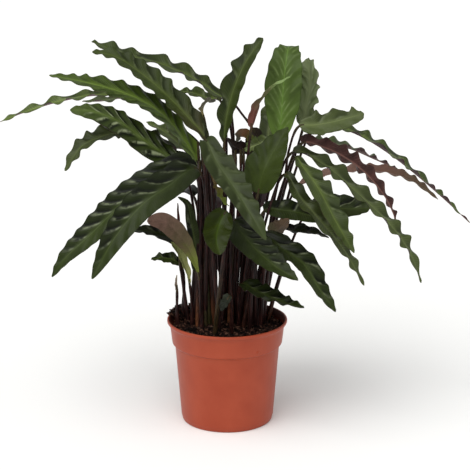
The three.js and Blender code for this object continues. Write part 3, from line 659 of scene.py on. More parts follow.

# %% [markdown]
# ### Leaves on the right
# Long narrow blades arch over to the right, with strong waves along their edges. Some look grey, as
# their sheen is painted into a paler, greyer colour, and two show more of their red side.

# %% Leaves on the right
LEAVES += [
    dict(name="right_upper", kind="grey", root=(32, 28), width=37, roll=(42, 34), rise=0.3, fall=0.4,
         fold=3, scallop=0.3, tone=1.1,
         stalk=[(284, 185, 34), (289, 150, 36)],
         rib=[(299, 126, 36), (313, 125, 38), (332, 122, 42), (350, 117.5, 46), (364, 113.5, 48)]),
    dict(name="right_far", kind="green", root=(42, 34), width=24, roll=(16, 8), wave=2.8, pitch=29, lag=1,
         tone=1.5,
         rib=[(318, 123, 76), (345, 128.5, 84), (368, 139, 90), (393, 155.5, 97), (415, 173, 104),
              (443, 197.5, 112), (470, 223, 116)]),
    dict(name="right_red", kind="red", root=(40, 28), width=25, roll=(-50, -36), wave=3.2, pitch=21,
         fall=0.95, tone=1.4,
         rib=[(301, 143, 48), (325, 147, 48), (347, 158, 47), (366, 173, 45), (386, 198, 41),
              (399, 228, 38)]),
    dict(name="right_grey", kind="red", root=(28, 48), width=26, roll=(10, -2), pitch=21, lag=1, tone=2,
         rib=[(303, 142, 92), (325, 142.5, 104), (350, 148, 116), (375, 159, 128), (399, 170, 136)]),
    dict(name="right_pink", kind="young", root=(35, 42), width=21, roll=(-40, -36), lag=1, tone=1.4,
         rib=[(297, 187, 78), (310, 180, 81), (327, 174, 85), (350, 170.5, 93), (385, 171, 106),
              (412, 180, 115), (438, 199.5, 122)]),
    dict(name="right_long", kind="green", look="grey", root=(38, 18), width=29, roll=(6, 14), wave=3.4,
         pitch=27, lag=1, tone=1.1, shade=0.5,
         rib=[(292, 152, 30), (325, 165, 18), (352, 188, 7), (378, 212, -3), (398, 234, -10),
              (412, 257, -17), (421, 283, -22)]),
    dict(name="right_green", kind="green", root=(30, 8), width=32, roll=(-8, 4), pitch=26, rise=0.75,
         scallop=0.14, tone=1.05,
         rib=[(294, 157, 16), (303, 167, -6), (318, 188, -42), (335, 220, -74), (354, 253, -92)]),
    dict(name="right_narrow", kind="grey", root=(19, -3), width=23, roll=(18, -4), pitch=26, rise=0.6,
         lag=1, tone=1.05, shade=0.6,
         rib=[(284, 174, -8), (300, 197, -36), (318, 218, -58), (344, 250, -76), (364, 285.5, -84)]),
    dict(name="right_dark", kind="dark", root=(48, 22), width=37, roll=(32, 36), fall=0.5, tone=1.5,
         rib=[(312, 206, 62), (332, 208, 56), (352, 209, 48), (370, 208.5, 42)]),
    dict(name="right_dark_mid", kind="dark", root=(33, 1), width=24, roll=(55, 50),
         rib=[(264, 211, 5), (282, 210, 4), (300, 213, 2), (316, 218, -1), (330, 223, -4)]),
    dict(name="right_dark_low", kind="dark", root=(42, 8), width=24, roll=(12, 10), tone=0.35,
         rib=[(280, 229, 10), (295, 231, 12), (311, 232, 14), (329, 238, 14)]),
    dict(name="right_low", kind="dark", root=(26, -10), width=36, roll=(14, 14), lag=1, shade=0.7,
         rib=[(262, 236, -16), (284, 250, -32), (304, 264.5, -46), (318, 287, -58), (335.5, 312, -64)]),
]
print(len(LEAVES), "leaves so far")

# %% [markdown]
# ### Leaves in the middle and low down
# The middle is closed by blades that hang towards the eye, and short dark ones fill the space
# between the stalks below.

# %% Leaves in the middle and low down
LEAVES += [
    dict(name="centre_grey", kind="grey", look="blotched", root=(-9, -14), width=35, roll=(18, 18),
         rise=0.5, scallop=0.14, both=True, tone=0.78,
         rib=[(205, 140.5, -20), (217, 162, -50), (236, 190, -86), (252, 216, -108), (266, 240, -120)]),
    dict(name="centre_green", kind="bright", look="shaded", root=(14, 5), width=46, roll=(0, 0),
         heading=70, rise=0.5, fall=0.95, tone=0.88,
         rib=[(258, 193.5, -4), (264, 170, 0), (276, 147, 8), (288, 127, 20)]),
    dict(name="centre_small", kind="bright", look="olive", root=(-14, -28), width=33, roll=(-10, -10),
         fall=0.6, tone=0.55,
         rib=[(226.5, 211, -58), (219.5, 224, -66), (216.5, 240, -84), (220, 255, -98)]),
    dict(name="centre_lime", kind="lime", root=(-16, 8), width=15, roll=(-20, -20), rise=1.6, fall=0.5,
         rib=[(206, 155, -4), (211, 172, -8), (217, 190, -14), (222, 200, -20), (229, 206, -24)]),
    dict(name="centre_dark", kind="dark", root=(5, 1), width=44, roll=(10, 14), tone=0.9, shade=0.7,
         rib=[(233, 221, 2), (242, 233, -28), (256, 249.5, -58), (277, 267.5, -86), (298, 280.5, -100)]),
    dict(name="low_right", kind="dark", root=(14, -2), width=30, roll=(4, 8), wave=1.6, tone=0.8,
         rib=[(241, 284, -14), (256, 291, -36), (272, 298, -56), (288, 304, -70), (304, 308, -84)]),
    dict(name="left_low_behind", kind="dark", root=(-38, 34), width=32, roll=(-16, -20), tone=0.45,
         rib=[(196, 258, 38), (178, 243, 40), (157, 233, 44), (130, 230, 46)]),
    dict(name="left_tiny", kind="dark", root=(-52.5, 20), width=18, roll=(-28, -28), wave=1.6, tone=1.9,
         rib=[(182, 267, 30), (173, 260, 30), (162, 258, 30), (151, 259.5, 30)]),
    dict(name="left_dark_back", kind="dark", root=(-38, 19), width=14, roll=(0, 0), heading=90, wave=1,
         pitch=30, fold=6,
         rib=[(196, 272, 19), (195, 245, 19), (191, 220, 18), (187, 203, 17), (178, 197, 19)]),
]
print(len(LEAVES), "leaves so far")

# %% [markdown]
# ### Young, rolled and withered leaves
# A new leaf comes up as a rolled spear and opens later, and an old one dries and curls. A steep
# fold and a narrow width roll a blade up, without a separate shape for it.

# %% Young, rolled and withered leaves
LEAVES += [
    dict(name="young_pink", kind="young", root=(-31, -4), width=22, roll=(-80, -80), wave=1, rise=1.4,
         fall=0.6, fold=12, tone=0.68,
         rib=[(199, 277, -5), (193.5, 259, -8), (185, 243, -10), (174.5, 230, -11), (162, 221, -13),
              (147, 221, -14)]),
    dict(name="young_rolled", kind="lime", root=(-41, 6), width=11, roll=(-60, -60), wave=1, rise=1,
         fold=30, tone=1.8,
         rib=[(190, 284, 8), (186, 269, 6), (180, 255, 4), (171, 242, 2)]),
    dict(name="shoot_left", kind="young", root=(-46, 12), width=5, roll=(0, 0), wave=0.5, pitch=30,
         fold=40,
         rib=[(180, 262, 16), (178, 230, 14), (177.5, 203, 12)]),
    dict(name="stub_left", kind="young", root=(-58, 2), width=3, roll=(0, 0), wave=0.3, pitch=30, fold=40,
         rib=[(176.5, 290, 2), (176, 283, 2), (177, 275, 2)]),
    dict(name="curled_dark", kind="red", root=(6, 52), width=25, roll=(60, 60), lag=1,
         stalk=[(233, 150, 74), (230, 115, 76), (234, 105, 70), (242, 114, 62)],
         rib=[(252, 128, 56), (257, 141, 52), (248, 149, 50), (237, 148, 50), (227, 138, 52)]),
    dict(name="grey_ruffle", kind="grey", root=(12, 40), width=18, roll=(-50, -50), tone=1.7,
         stalk=[(262, 180, 40)],
         rib=[(268, 141, 38), (259, 144.5, 36), (251, 147, 34), (245, 151, 34)]),
    dict(name="withered_left", kind="young", root=(-5, 39), width=12, roll=(-40, -40), wave=1.5,
         stalk=[(211, 160, 62)],
         rib=[(204, 120, 70), (202, 110, 72), (206, 102, 74), (216, 101, 76)]),
    dict(name="withered_centre", kind="young", root=(5, 39), width=12, roll=(-50, -50), wave=1.5, tone=0.6,
         rib=[(252, 143, 44), (247, 136, 43), (241, 133, 43), (237, 142, 43)]),
    dict(name="right_tan", kind="young", root=(39, -2), width=21, roll=(-60, -60), wave=1, tone=0.75,
         rib=[(271, 233, -6), (278, 229, -8), (289, 219, -10)]),
    dict(name="low_centre", kind="dark", root=(5, -26), width=12, roll=(-20, -20), wave=1, tone=0.5,
         rib=[(230, 296, -38), (225, 303, -42), (221, 311, -44)]),
]
print(len(LEAVES), "leaves so far")

# %% [markdown]
# ### Leaves at the back
# The picture doesn't show these. A plant is as bushy behind as in front, so seven plain ones hang
# to the back and sides, well inside the outline of the rest.

# %% Leaves at the back
LEAVES += [
    dict(name="back_mid_left", kind="dark", root=(-6, 56), width=36, roll=(0, 0), pitch=30, tone=0.7,
         rib=[(222, 192, 92), (216, 190, 124), (211, 202, 154), (209, 224, 176), (209, 244, 182)]),
    dict(name="back_mid_right", kind="dark", root=(14, 44), width=40, roll=(0, 0), pitch=30, tone=0.7,
         rib=[(256, 178, 70), (259, 168, 120), (261, 182, 170), (260, 208, 205)]),
    dict(name="back_low_right", kind="dark", root=(18, 52), width=34, roll=(0, 0), pitch=30,
         rib=[(248, 240, 76), (258, 240, 112), (270, 248, 144), (280, 262, 164)]),
    dict(name="back_low_left", kind="dark", root=(2, 56), width=32, roll=(0, 0), pitch=30,
         rib=[(228, 238, 84), (225, 236, 120), (223, 252, 152), (223, 280, 170)]),
    dict(name="back_high_right", kind="green", look="grey", root=(23, 49), width=26, roll=(0, 0),
         heading=70, pitch=30, tone=1.4,
         rib=[(267, 146, 66), (269, 130, 74), (274, 110, 92), (288, 92, 140)]),
    dict(name="back_far_left", kind="green", root=(-30, 44), width=30, roll=(0, 0), pitch=30, tone=2.2,
         rib=[(194, 160, 70), (178, 143, 100), (162, 130, 124), (146, 122, 142)]),
    dict(name="back_low_side", kind="dark", root=(-37, 42), width=36, roll=(0, 0), pitch=30, tone=0.25,
         rib=[(194, 196, 58), (170, 194, 96), (142, 206, 136), (124, 228, 166)]),
]
print(len(LEAVES), "leaves in all")

# %% [markdown]
# ### How a leaf grows along a line
# A centripetal Catmull-Rom curve runs through the foot of the stalk, the root point and the picture
# points. It could be a Bezier curve object, but then each point would need handles, and this kind goes
# through uneven points without loops. The points are turned from the picture into the object's own
# frame by the same eye as the camera's.

# %% Curve through picture points
SAMPLES_PER_SPAN = 40


def seen(across, down, depth):
    """A picture point in the object's own frame, in mm."""
    tilt = EYE["tilt"]
    right = (across - EYE["centre"]) / EYE["focal"]
    up = (EYE["centre"] - down) / EYE["focal"]
    forward = math.cos(tilt) + up * math.sin(tilt)
    rise = up * math.cos(tilt) - math.sin(tilt)
    reach = (EYE["distance"] + depth) / forward
    return np.array([EYE["aside"] + right * reach, depth, EYE["height"] + rise * reach])


def smooth_curve(knots):
    """Points along a centripetal Catmull-Rom curve through the knots."""
    ends = [2 * knots[0] - knots[1], *knots, 2 * knots[-1] - knots[-2]]
    points = []
    for p0, p1, p2, p3 in zip(ends, ends[1:], ends[2:], ends[3:]):
        d0, d1, d2 = (math.sqrt(np.linalg.norm(b - a)) for a, b in ((p0, p1), (p1, p2), (p2, p3)))
        m1 = ((p1 - p0) / d0 - (p2 - p0) / (d0 + d1) + (p2 - p1) / d1) * d1
        m2 = ((p2 - p1) / d1 - (p3 - p1) / (d1 + d2) + (p3 - p2) / d2) * d1
        for x in np.arange(SAMPLES_PER_SPAN) / SAMPLES_PER_SPAN:
            points.append(p1 + m1 * x + (3 * (p2 - p1) - 2 * m1 - m2) * x ** 2
                          + (2 * (p1 - p2) + m1 + m2) * x ** 3)
    return np.array([*points, knots[-1]])


tips = np.array([seen(*leaf["rib"][-1]) for leaf in LEAVES])
print("tips reach from", tips.min(0).round(), "to", tips.max(0).round(), "mm")

# %% [markdown]
# ### A frame at any place on the line
# At any length along the line a frame says where the leaf is, which way lies across the blade, and
# which way its upper face looks. The frame starts from the way the leaf leans, so that it doesn't
# twist by itself, and roll then turns it. All of it is worked out for many lengths at once, as numpy
# arrays.

# %% Growth lines
ROOT_DEPTH = 18.0


def unit(vectors):
    return vectors / np.linalg.norm(vectors, axis=-1, keepdims=True)


def turned_about(vectors, axis, angle):
    """Vectors turned about an axis, each by its own angle."""
    cos, sin = np.cos(angle)[:, None], np.sin(angle)[:, None]
    along = np.sum(axis * vectors, -1, keepdims=True)
    return vectors * cos + np.cross(axis, vectors) * sin + axis * along * (1 - cos)


class GrowthLine:
    """The line of one leaf, with base and total the lengths at the blade's base and tip."""

    def __init__(self, leaf):
        x, y = leaf["root"]
        rib = [seen(*point) for point in leaf["rib"]]
        below = [np.array([x, y, SOIL_TOP - ROOT_DEPTH]), np.array([x, y, SOIL_TOP])]
        knots = [*below, *(seen(*point) for point in leaf.get("stalk", [])), *rib]
        self.samples = smooth_curve(knots)
        steps = np.linalg.norm(np.diff(self.samples, axis=0), axis=1)
        self.lengths = np.concatenate([[0], np.cumsum(steps)])
        self.base = self.lengths[SAMPLES_PER_SPAN * (len(knots) - len(rib))]
        self.total = self.lengths[-1]
        lean = rib[-1] - rib[0]
        if "heading" in leaf:
            heading = math.radians(leaf["heading"])
            lean = np.array([math.cos(heading), math.sin(heading), 0])
        self.lean = unit(np.array([lean[0], lean[1], 0]))
        self.roll = leaf["roll"]

    def at(self, lengths):
        return np.stack([np.interp(lengths, self.lengths, self.samples[:, k]) for k in range(3)], -1)

    def frame(self, lengths, extra_roll=0.0):
        """Points, and the directions across the blade and out of its upper face, at these lengths."""
        along = unit(self.at(lengths + 1) - self.at(lengths - 1))
        across = np.cross(self.lean, (0, 0, 1.0))
        across = unit(across - np.sum(along * across, -1, keepdims=True) * along)
        face = np.cross(across, along)
        share = np.clip((lengths - self.base) / (self.total - self.base), 0, 1)
        roll = np.radians(self.roll[0] + (self.roll[1] - self.roll[0]) * share + extra_roll)
        return self.at(lengths), turned_about(across, along, roll), turned_about(face, along, roll)


lines = [GrowthLine(leaf) for leaf in LEAVES]
blade_lengths = [line.total - line.base for line in lines]
print("blades", round(min(blade_lengths)), "to", round(max(blade_lengths)), "mm long")

# %% [markdown]
# ### What kinds of leaves there are
# The edge of a blade waves every 20 to 24 mm, or more on the longest, and more strongly on the narrow
# leaves than on the broad dark ones. Each wave runs inwards as a ripple, which is deepest on the dark
# leaves, so a broad face looks quilted. A kind gives the usual length and height of a wave and the
# height of a ripple, in mm, and the rest is what most leaves share. A row above overrides what it names.

# %% Kinds of leaves
USUAL = dict(rise=0.42, fall=0.75, fold=16, lag=0, scallop=0.05, both=False, tone=1.0, shade=0.0)
KINDS = {
    "dark": dict(pitch=20, wave=1.1, quilt=1.1),
    "green": dict(pitch=22, wave=2.2, quilt=0.7),
    "bright": dict(pitch=22, wave=1.7, quilt=0.5),
    "grey": dict(pitch=24, wave=2.4, quilt=0.6),
    "red": dict(pitch=24, wave=2.4, quilt=0.6),
    "young": dict(pitch=20, wave=1.5, quilt=0.2),
    "lime": dict(pitch=14, wave=2.0, quilt=0.6),
}
LEAVES = [{**USUAL, **KINDS[leaf["kind"]], **leaf} for leaf in LEAVES]
print({kind: sum(leaf["kind"] == kind for leaf in LEAVES) for kind in KINDS})

# %% [markdown]
# ### Outline and drift
# A blade is full below its middle and drawn out to the tip, which a product of two powers gives with
# two numbers a leaf. No two waves of a real leaf are alike, so everything drifts slowly along it: two
# sine waves with random starts are smooth, cheap and the same in each run. Each drift below is an
# amount and a number of cycles along the blade.

# %% Outline and drift
def outline(leaf, share):
    """Half of the width as a share of its widest, at each share of the length."""
    widest = leaf["rise"] / (leaf["rise"] + leaf["fall"])
    top = widest ** leaf["rise"] * (1 - widest) ** leaf["fall"]
    return share ** leaf["rise"] * (1 - share) ** leaf["fall"] / top


def slow_drift(dice, share, amount, cycles):
    """A smooth random curve along the blade, within about the amount either way."""
    first, second = dice.uniform(0, 2 * math.pi, 2)
    angle = 2 * math.pi * cycles * share
    return amount * (0.6 * np.sin(angle + first) + 0.4 * np.sin(2.3 * angle + second))


steps = np.linspace(0, 1, 101)
for leaf in LEAVES[:2]:
    print(leaf["name"], "is widest at", steps[np.argmax(outline(leaf, steps))], "of its length")

# %% [markdown]
# ### Shell of a blade
# A blade is a closed shell: an upper and an under sheet of the same grid of points, joined by a narrow
# rim. A Solidify modifier could thicken one sheet, but here the two differ, because the under sheet
# swells along the midrib. The upper sheet has the first material slot, and the rest has the second.


# %% Shell of a blade
def shell_faces(columns, stations):
    """Faces of two sheets of columns x stations points and the rim between them, with face slots."""
    below = columns * stations
    faces, slots = [], []
    for column in range(columns - 1):
        for k in range(stations - 1):
            a = column * stations + k
            b = a + stations
            faces.append((a, b, b + 1, a + 1))
            faces.append((a + below, a + 1 + below, b + 1 + below, b + below))
            slots += [0, 1]
    first, last = range(stations), range((columns - 1) * stations, below)
    base, tip = range(0, below, stations), range(stations - 1, below, stations)
    for loop in (first, last[::-1], base[::-1], tip):
        faces += [(a, b, b + below, a + below) for a, b in zip(loop, loop[1:])]
        slots += [1] * (len(loop) - 1)
    return faces, slots


print("a grid of 3 x 4 points gives", len(shell_faces(3, 4)[0]), "faces")

# %% [markdown]
# ### Blade
# The real blade is about 0.4 mm thick. Its ripples run along the side veins, which leave the midrib at
# a sharp angle and bend outwards. On most leaves the half that lies further back is quilted much more
# than the half that hangs towards the front, and both run out smooth at the tip. Where a blade faces
# the eye, its waved margin also looks scalloped. Under the midrib the shell swells into a tapering
# ridge, and above it there is a groove. A displacement texture could make ripples too, but not ones
# that follow the veins.
#
# Two vectors are stored at each point for the materials. place holds the distance across and along
# the blade in mm and the count of ripples. part holds how far out the point is, up to 1 at the edge
# and below 0 on a half that isn't quilted, the share of the length, and the tone.

# %% Blade
FEWEST_WAVES = 3
STATIONS_PER_WAVE = 12
COLUMNS = 12
CROWDING = 0.2
BLUNT_EDGE = 0.6
VEIN_SLANT = dict(most=2.4, least_share=0.35, narrow=16, broad=40)
VEIN_BEND = 0.44
EDGE_WAVE = dict(growth=1.4, growth_power=0.7, inward_power=1.7)
RIPPLE = dict(growth=1.3, calm_tip=2.4, outer_end=1.15, power=1.2, near_half=0.15)
SECOND_WAVE = dict(height=0.12, offset=0.8)
FOLD_ROUNDING = 0.01
SHEET = dict(upper=0.15, middle=0.38, edge_loss=0.12)
GROOVE = dict(depth=0.45, width=0.9)
RIDGE = dict(height=1.1, foot=1.25, tip=0.15, taper=0.8)
DRIFT = dict(roll=(3.0, 1.3), ripples=(1.3, 1.7), height=(0.4, 2.3), tone=(0.06, 1.0))
SHADE_REACH = 0.35


def blade(leaf, line, dice):
    """Points, faces, face slots and the stored vectors of a blade."""
    length = line.total - line.base
    waves = max(FEWEST_WAVES, round(length / leaf["pitch"]))
    stations = STATIONS_PER_WAVE * waves + 1
    share = np.linspace(0, 1, stations)
    points, across, face = line.frame(line.base + length * share, slow_drift(dice, share, *DRIFT["roll"]))
    fullness = outline(leaf, share)
    half = leaf["width"] / 2 * fullness + BLUNT_EDGE
    wave = leaf["wave"] * np.minimum(1, EDGE_WAVE["growth"] * fullness ** EDGE_WAVE["growth_power"])
    quilt = leaf["quilt"] * np.minimum(1, RIPPLE["growth"] * fullness)
    quilt = quilt * np.minimum(1, RIPPLE["calm_tip"] * (1 - share))
    fold = math.radians(leaf["fold"])
    broad = (leaf["width"] - VEIN_SLANT["narrow"]) / (VEIN_SLANT["broad"] - VEIN_SLANT["narrow"])
    slant = VEIN_SLANT["most"] * min(1.0, max(VEIN_SLANT["least_share"], broad))
    ridge = RIDGE["foot"] * (1 - share) ** RIDGE["taper"] + RIDGE["tip"]
    shift = {side: slow_drift(dice, share, *DRIFT["ripples"]) for side in (-1, 1)}
    unequal = {side: 1 + slow_drift(dice, share, *DRIFT["height"]) for side in (-1, 1)}
    tone = leaf["tone"] * (1 + slow_drift(dice, share, *DRIFT["tone"]))
    tone = tone * (1 - leaf["shade"] * np.exp(-(share / SHADE_REACH) ** 2))
    back_side = 1 if across[stations // 2, 1] > 0 else -1
    columns = np.linspace(-1, 1, 2 * COLUMNS + 1)
    columns = np.sign(columns) * ((1 - CROWDING) * np.abs(columns) + CROWDING * columns ** 2)
    upper, under, place, part = [], [], [], []
    for x in columns:
        wide, side = abs(x), 1 if x > 0 else -1
        quilted = 1.0 if leaf["both"] or side == back_side else RIPPLE["near_half"]
        lag = leaf["lag"] / 2 if x > 0 else 0
        run = slant * half * (wide - VEIN_BEND * wide * wide)
        phase = 2 * math.pi * (waves * (share - run / length) + lag) + shift[side]
        second = SECOND_WAVE["height"] * np.cos(2 * phase + SECOND_WAVE["offset"])
        ripple = unequal[side] * (np.cos(phase) + second)
        sideways = half * x * (1 - leaf["scallop"] * wide ** 3 * (0.5 - 0.5 * np.cos(phase)))
        bulge = math.sin(math.pi * min(1.0, wide * RIPPLE["outer_end"])) ** RIPPLE["power"]
        lift = half * math.sin(fold) * (math.sqrt(x * x + FOLD_ROUNDING) - math.sqrt(FOLD_ROUNDING))
        lift = lift + ripple * wave * wide ** EDGE_WAVE["inward_power"]
        lift = lift + ripple * quilt * quilted * bulge
        lift = lift - GROOVE["depth"] * np.exp(-(sideways / GROOVE["width"]) ** 2) * (1 - share)
        swelling = RIDGE["height"] * ridge * np.exp(-(sideways / ridge) ** 2)
        thickness = SHEET["middle"] - SHEET["edge_loss"] * wide + swelling
        middle = points + across * (sideways * math.cos(fold))[:, None] + face * lift[:, None]
        upper.append(middle + face * SHEET["upper"])
        under.append(middle - face * (thickness - SHEET["upper"])[:, None])
        outwards = np.full(stations, wide if leaf["both"] else x * back_side)
        place.append(np.stack([sideways, length * share - run, phase / (2 * math.pi)], -1))
        part.append(np.stack([outwards, share, tone], -1))
    stored = {"place": np.concatenate(place * 2), "part": np.concatenate(part * 2)}
    return np.concatenate([*upper, *under]), *shell_faces(len(columns), stations), stored


trial = blade(LEAVES[0], lines[0], np.random.default_rng(0))[0]
print("a blade like", LEAVES[0]["name"], "has", len(trial), "points")

# %% [markdown]
# ### Stalk
# A stalk is about 6 mm thick at its foot, where it is wrapped in its own sheath, and thins to under
# 3 mm. The sheath ends in a slanting lip half of the way up, and a short swollen joint carries the
# blade. A curve with a bevel can only taper evenly, so this is a tube with a radius that changes with
# height and direction. It ends inside the base of the blade, sunk into its ridge. Its vectors hold
# other things than a blade's: place has the direction round the stalk, the height above the peat in mm
# and how far it is wrapped, and part has the share of the height and a random tone.

# %% Stalk
STALK = dict(sides=14, foot_radius=2.3, top_radius=1.3, step=3.0, into_blade=6.0)
SHEATH = dict(thickness=0.5, lowest=0.35, highest=0.65, lip_slant=5, lip_softness=1.2)
STALK_RIBS = dict(count=5, height=0.06)
JOINT = dict(length=12.0, swelling=0.35)
SINK = dict(over=15, share=0.5)


def stalk(line, dice):
    """Points, faces and the stored vectors of a stalk."""
    reach = line.base + STALK["into_blade"]
    steps = int(reach / STALK["step"])
    lengths = np.linspace(0, reach, steps + 1)
    climb = np.clip(lengths / line.base, 0, 1)
    points, across, face = line.frame(lengths)
    radius = STALK["foot_radius"] + (STALK["top_radius"] - STALK["foot_radius"]) * climb
    sink = np.clip((lengths - line.base) / SINK["over"] + 1, 0, 1) * radius * SINK["share"]
    half_joint = JOINT["length"] / 2
    joint = JOINT["swelling"] * np.exp(-((lengths - line.base + half_joint) / half_joint) ** 4)
    sheath_end = ROOT_DEPTH + dice.uniform(SHEATH["lowest"], SHEATH["highest"]) * (line.base - ROOT_DEPTH)
    lip_side = dice.uniform(0, 2 * math.pi)
    tone = dice.uniform()
    rings, place, part = [], [], []
    for angle in 2 * math.pi * np.arange(STALK["sides"]) / STALK["sides"]:
        lip = sheath_end + SHEATH["lip_slant"] * math.cos(angle - lip_side)
        wrapped = 1 / (1 + np.exp((lengths - lip) / SHEATH["lip_softness"]))
        ribs = STALK_RIBS["height"] * math.cos(STALK_RIBS["count"] * angle)
        width = radius * (1 + ribs * (1 - wrapped)) + SHEATH["thickness"] * wrapped + joint
        outward = math.cos(angle) * across + math.sin(angle) * face
        rings.append(points - face * sink[:, None] + outward * width[:, None])
        place.append(np.stack([np.full(steps + 1, angle), lengths - ROOT_DEPTH, wrapped], -1))
        part.append(np.stack([np.zeros(steps + 1), climb, np.full(steps + 1, tone)], -1))
    faces = []
    rows = steps + 1
    for k in range(STALK["sides"]):
        start, after = k * rows, (k + 1) % STALK["sides"] * rows
        faces += [(start + j, start + j + 1, after + j + 1, after + j) for j in range(steps)]
    ends = np.arange(STALK["sides"]) * rows
    faces += [tuple(ends), tuple(ends[::-1] + steps)]
    return np.concatenate(rings), faces, {"place": np.concatenate(place), "part": np.concatenate(part)}


bases = [line.base - ROOT_DEPTH for line in lines]
print("stalks", round(min(bases)), "to", round(max(bases)), "mm long above the peat")

# %% [markdown]
# ## Leaf finishes
# A leaf's colour is built as a painter would, in thin layers over a ground: each layer is a colour and
# how much of it shows. That share is a product of plain strengths, of patterns, and of smooth steps in
# some value, such as the distance from the midrib. A colour ramp on one value can't combine several.
# The patterns read the two vectors that are stored at the vertices, so they follow the veins and the
# ripples of each blade, as no texture in space would.


# %% Layers of colour
def leaf_values(tree):
    """What is stored at the vertices, by name, and the position."""
    values = {"position": add(tree, "NewGeometry").outputs["Position"]}
    for label, names in (("place", ("across", "along", "ripples")), ("part", ("outwards", "share", "tone"))):
        stored = add(tree, "Attribute", {"attribute_name": label}).outputs["Vector"]
        values.update(zip(names, add(tree, "SeparateXYZ", None, {0: stored}).outputs))
    return values


def coverage(tree, *factors):
    """The product of factors. One given as (value, none, full) is a smooth step from 0 to 1."""
    share = None
    for factor in factors:
        if isinstance(factor, tuple):
            value, none, full = factor
            factor = add(tree, "MapRange", {"interpolation_type": "SMOOTHSTEP"}, {
                "Value": value, "From Min": min(none, full), "From Max": max(none, full),
                "To Min": float(none > full), "To Max": float(none < full)}).outputs["Result"]
        if share is not None:
            factor = add(tree, "Math", {"operation": "MULTIPLY"}, {0: share, 1: factor}).outputs[0]
        share = factor
    return share


def layer(tree, under, over, *factors):
    """Lays one colour over another, where the coverage of the factors says."""
    share = coverage(tree, *factors)
    return add(tree, "Mix", {"data_type": "RGBA"}, {0: share, 6: under, 7: over}).outputs[2]


def crests(tree, turns, power, offset=0.0):
    """A wave of height 0 to 1 over each whole turn. The higher the power, the thinner its crest."""
    angle = add(tree, "Math", {"operation": "MULTIPLY_ADD"}, {
        0: turns, 1: 2 * math.pi, 2: 2 * math.pi * offset})
    cosine = add(tree, "Math", {"operation": "COSINE"}, {0: angle.outputs[0]})
    wave = add(tree, "Math", {"operation": "MULTIPLY_ADD"}, {0: cosine.outputs[0], 1: 0.5, 2: 0.5})
    return add(tree, "Math", {"operation": "POWER"}, {0: wave.outputs[0], 1: power}).outputs[0]


def side_veins(tree, here, spacing):
    """Side veins at a spacing in mm, which fade in and out at random."""
    turns = add(tree, "Math", {"operation": "DIVIDE"}, {0: here["along"], 1: spacing}).outputs[0]
    fading = add(tree, "TexNoise", None, {
        "Vector": here["position"], "Scale": repeats(12.5), "Detail": 2.0}).outputs["Fac"]
    return coverage(tree, crests(tree, turns, 3.0), (fading, 0.35, 0.65))


def weighted(tree, first, first_weight, second, second_weight):
    """The sum of two patterns, each with its own weight."""
    added = add(tree, "Math", {"operation": "MULTIPLY"}, {0: second, 1: second_weight}).outputs[0]
    return add(tree, "Math", {"operation": "MULTIPLY_ADD"}, {0: first, 1: first_weight, 2: added}).outputs[0]


def finish(tree, shader, colour, brightness, relief, depth):
    """Gives the shader a colour with its brightness, and a relief of this depth in mm."""
    varied = add(tree, "HueSaturation", None, {"Color": colour, "Value": brightness})
    bump = add(tree, "Bump", None, {"Height": relief, "Strength": 0.6, "Distance": depth * MM})
    tree.links.new(varied.outputs["Color"], shader.inputs["Base Color"])
    tree.links.new(bump.outputs["Normal"], shader.inputs["Normal"])


# %% [markdown]
# ### Waxy upper face
# The upper face is a waxy olive green with a satin gloss. Its midrib is a fine pale line, and side
# veins leave it every 3 mm or so at a slant; they show best on the younger, brighter leaves. One tall
# broad leaf has broad pale bars in place of fine veins. Where a blade is quilted, the light and shade
# of each ripple are painted into the colour: painted shade makes its hollow nearly black green, and a
# painted highlight on the flank that looks up shows as a greyish streak, which bends with the side
# veins and breaks up at random. Painted shade also darkens the quilted half a little as a whole. The
# margin is a thin dark line, and some blades have another colour at their base.

# %% Upper faces
VEIN_SPACING = 3.0
CHEVRON_SPACING = 11.0
CLOUDS = 18.2
PATCHES = 9.1
# Each look: the colours of the dark tone, which also paints the shade in the hollows, of the ground, of
# the side veins, which also paint the highlights on the ripples, and of the midrib, then how strong the
# painted shade in the hollows, the painted highlights, the midrib's glow and the side veins are, from 0 to 1
FACES = {
    "dark": ("#080d03", "#2d3814", "#767e60", "#4c5a2a", 1.0, 0.9, 0.35, 0.2),
    "green": ("#161d08", "#3b471d", "#6b7551", "#65733b", 0.75, 0.5, 0.4, 0.4),
    "bright": ("#1c270a", "#41521c", "#687a3e", "#7a9240", 0.6, 0.4, 0.6, 0.6),
    # The grey look paints the sheen of the bright surround into paler, greyer colours
    "grey": ("#1d240b", "#46502b", "#737b5e", "#6d784a", 0.6, 0.45, 0.4, 0.4),
    "red": ("#1c210f", "#363f22", "#5e6748", "#66704a", 0.45, 0.25, 0.4, 0.25),
    "shaded": ("#1c240a", "#344014", "#4a5826", "#445220", 0.4, 0.2, 0.3, 0.6),
    "olive": ("#1c2404", "#36420a", "#52601c", "#526a1e", 0.4, 0.2, 0.5, 0.7),
    "blotched": ("#22290f", "#3f4a27", "#5f6847", "#596340", 0.75, 0.5, 0.35, 0.1),
    "chevron": ("#2a380f", "#435523", "#72854f", "#66853a", 0.3, 0.15, 0.5, 1.0),
    # The pale look paints light onto a leaf that another blade shades, and its sheen, into paler colours
    "pale_painted_light": ("#3a4426", "#565f42", "#71785f", "#656e4c", 0.6, 0.5, 0.3, 0.2),
}
FACES["rusty"] = FACES["green"]
BASE_TINT = {"bright": "#7c9a32", "rusty": "#3a321c", "chevron": "#5f7a30"}


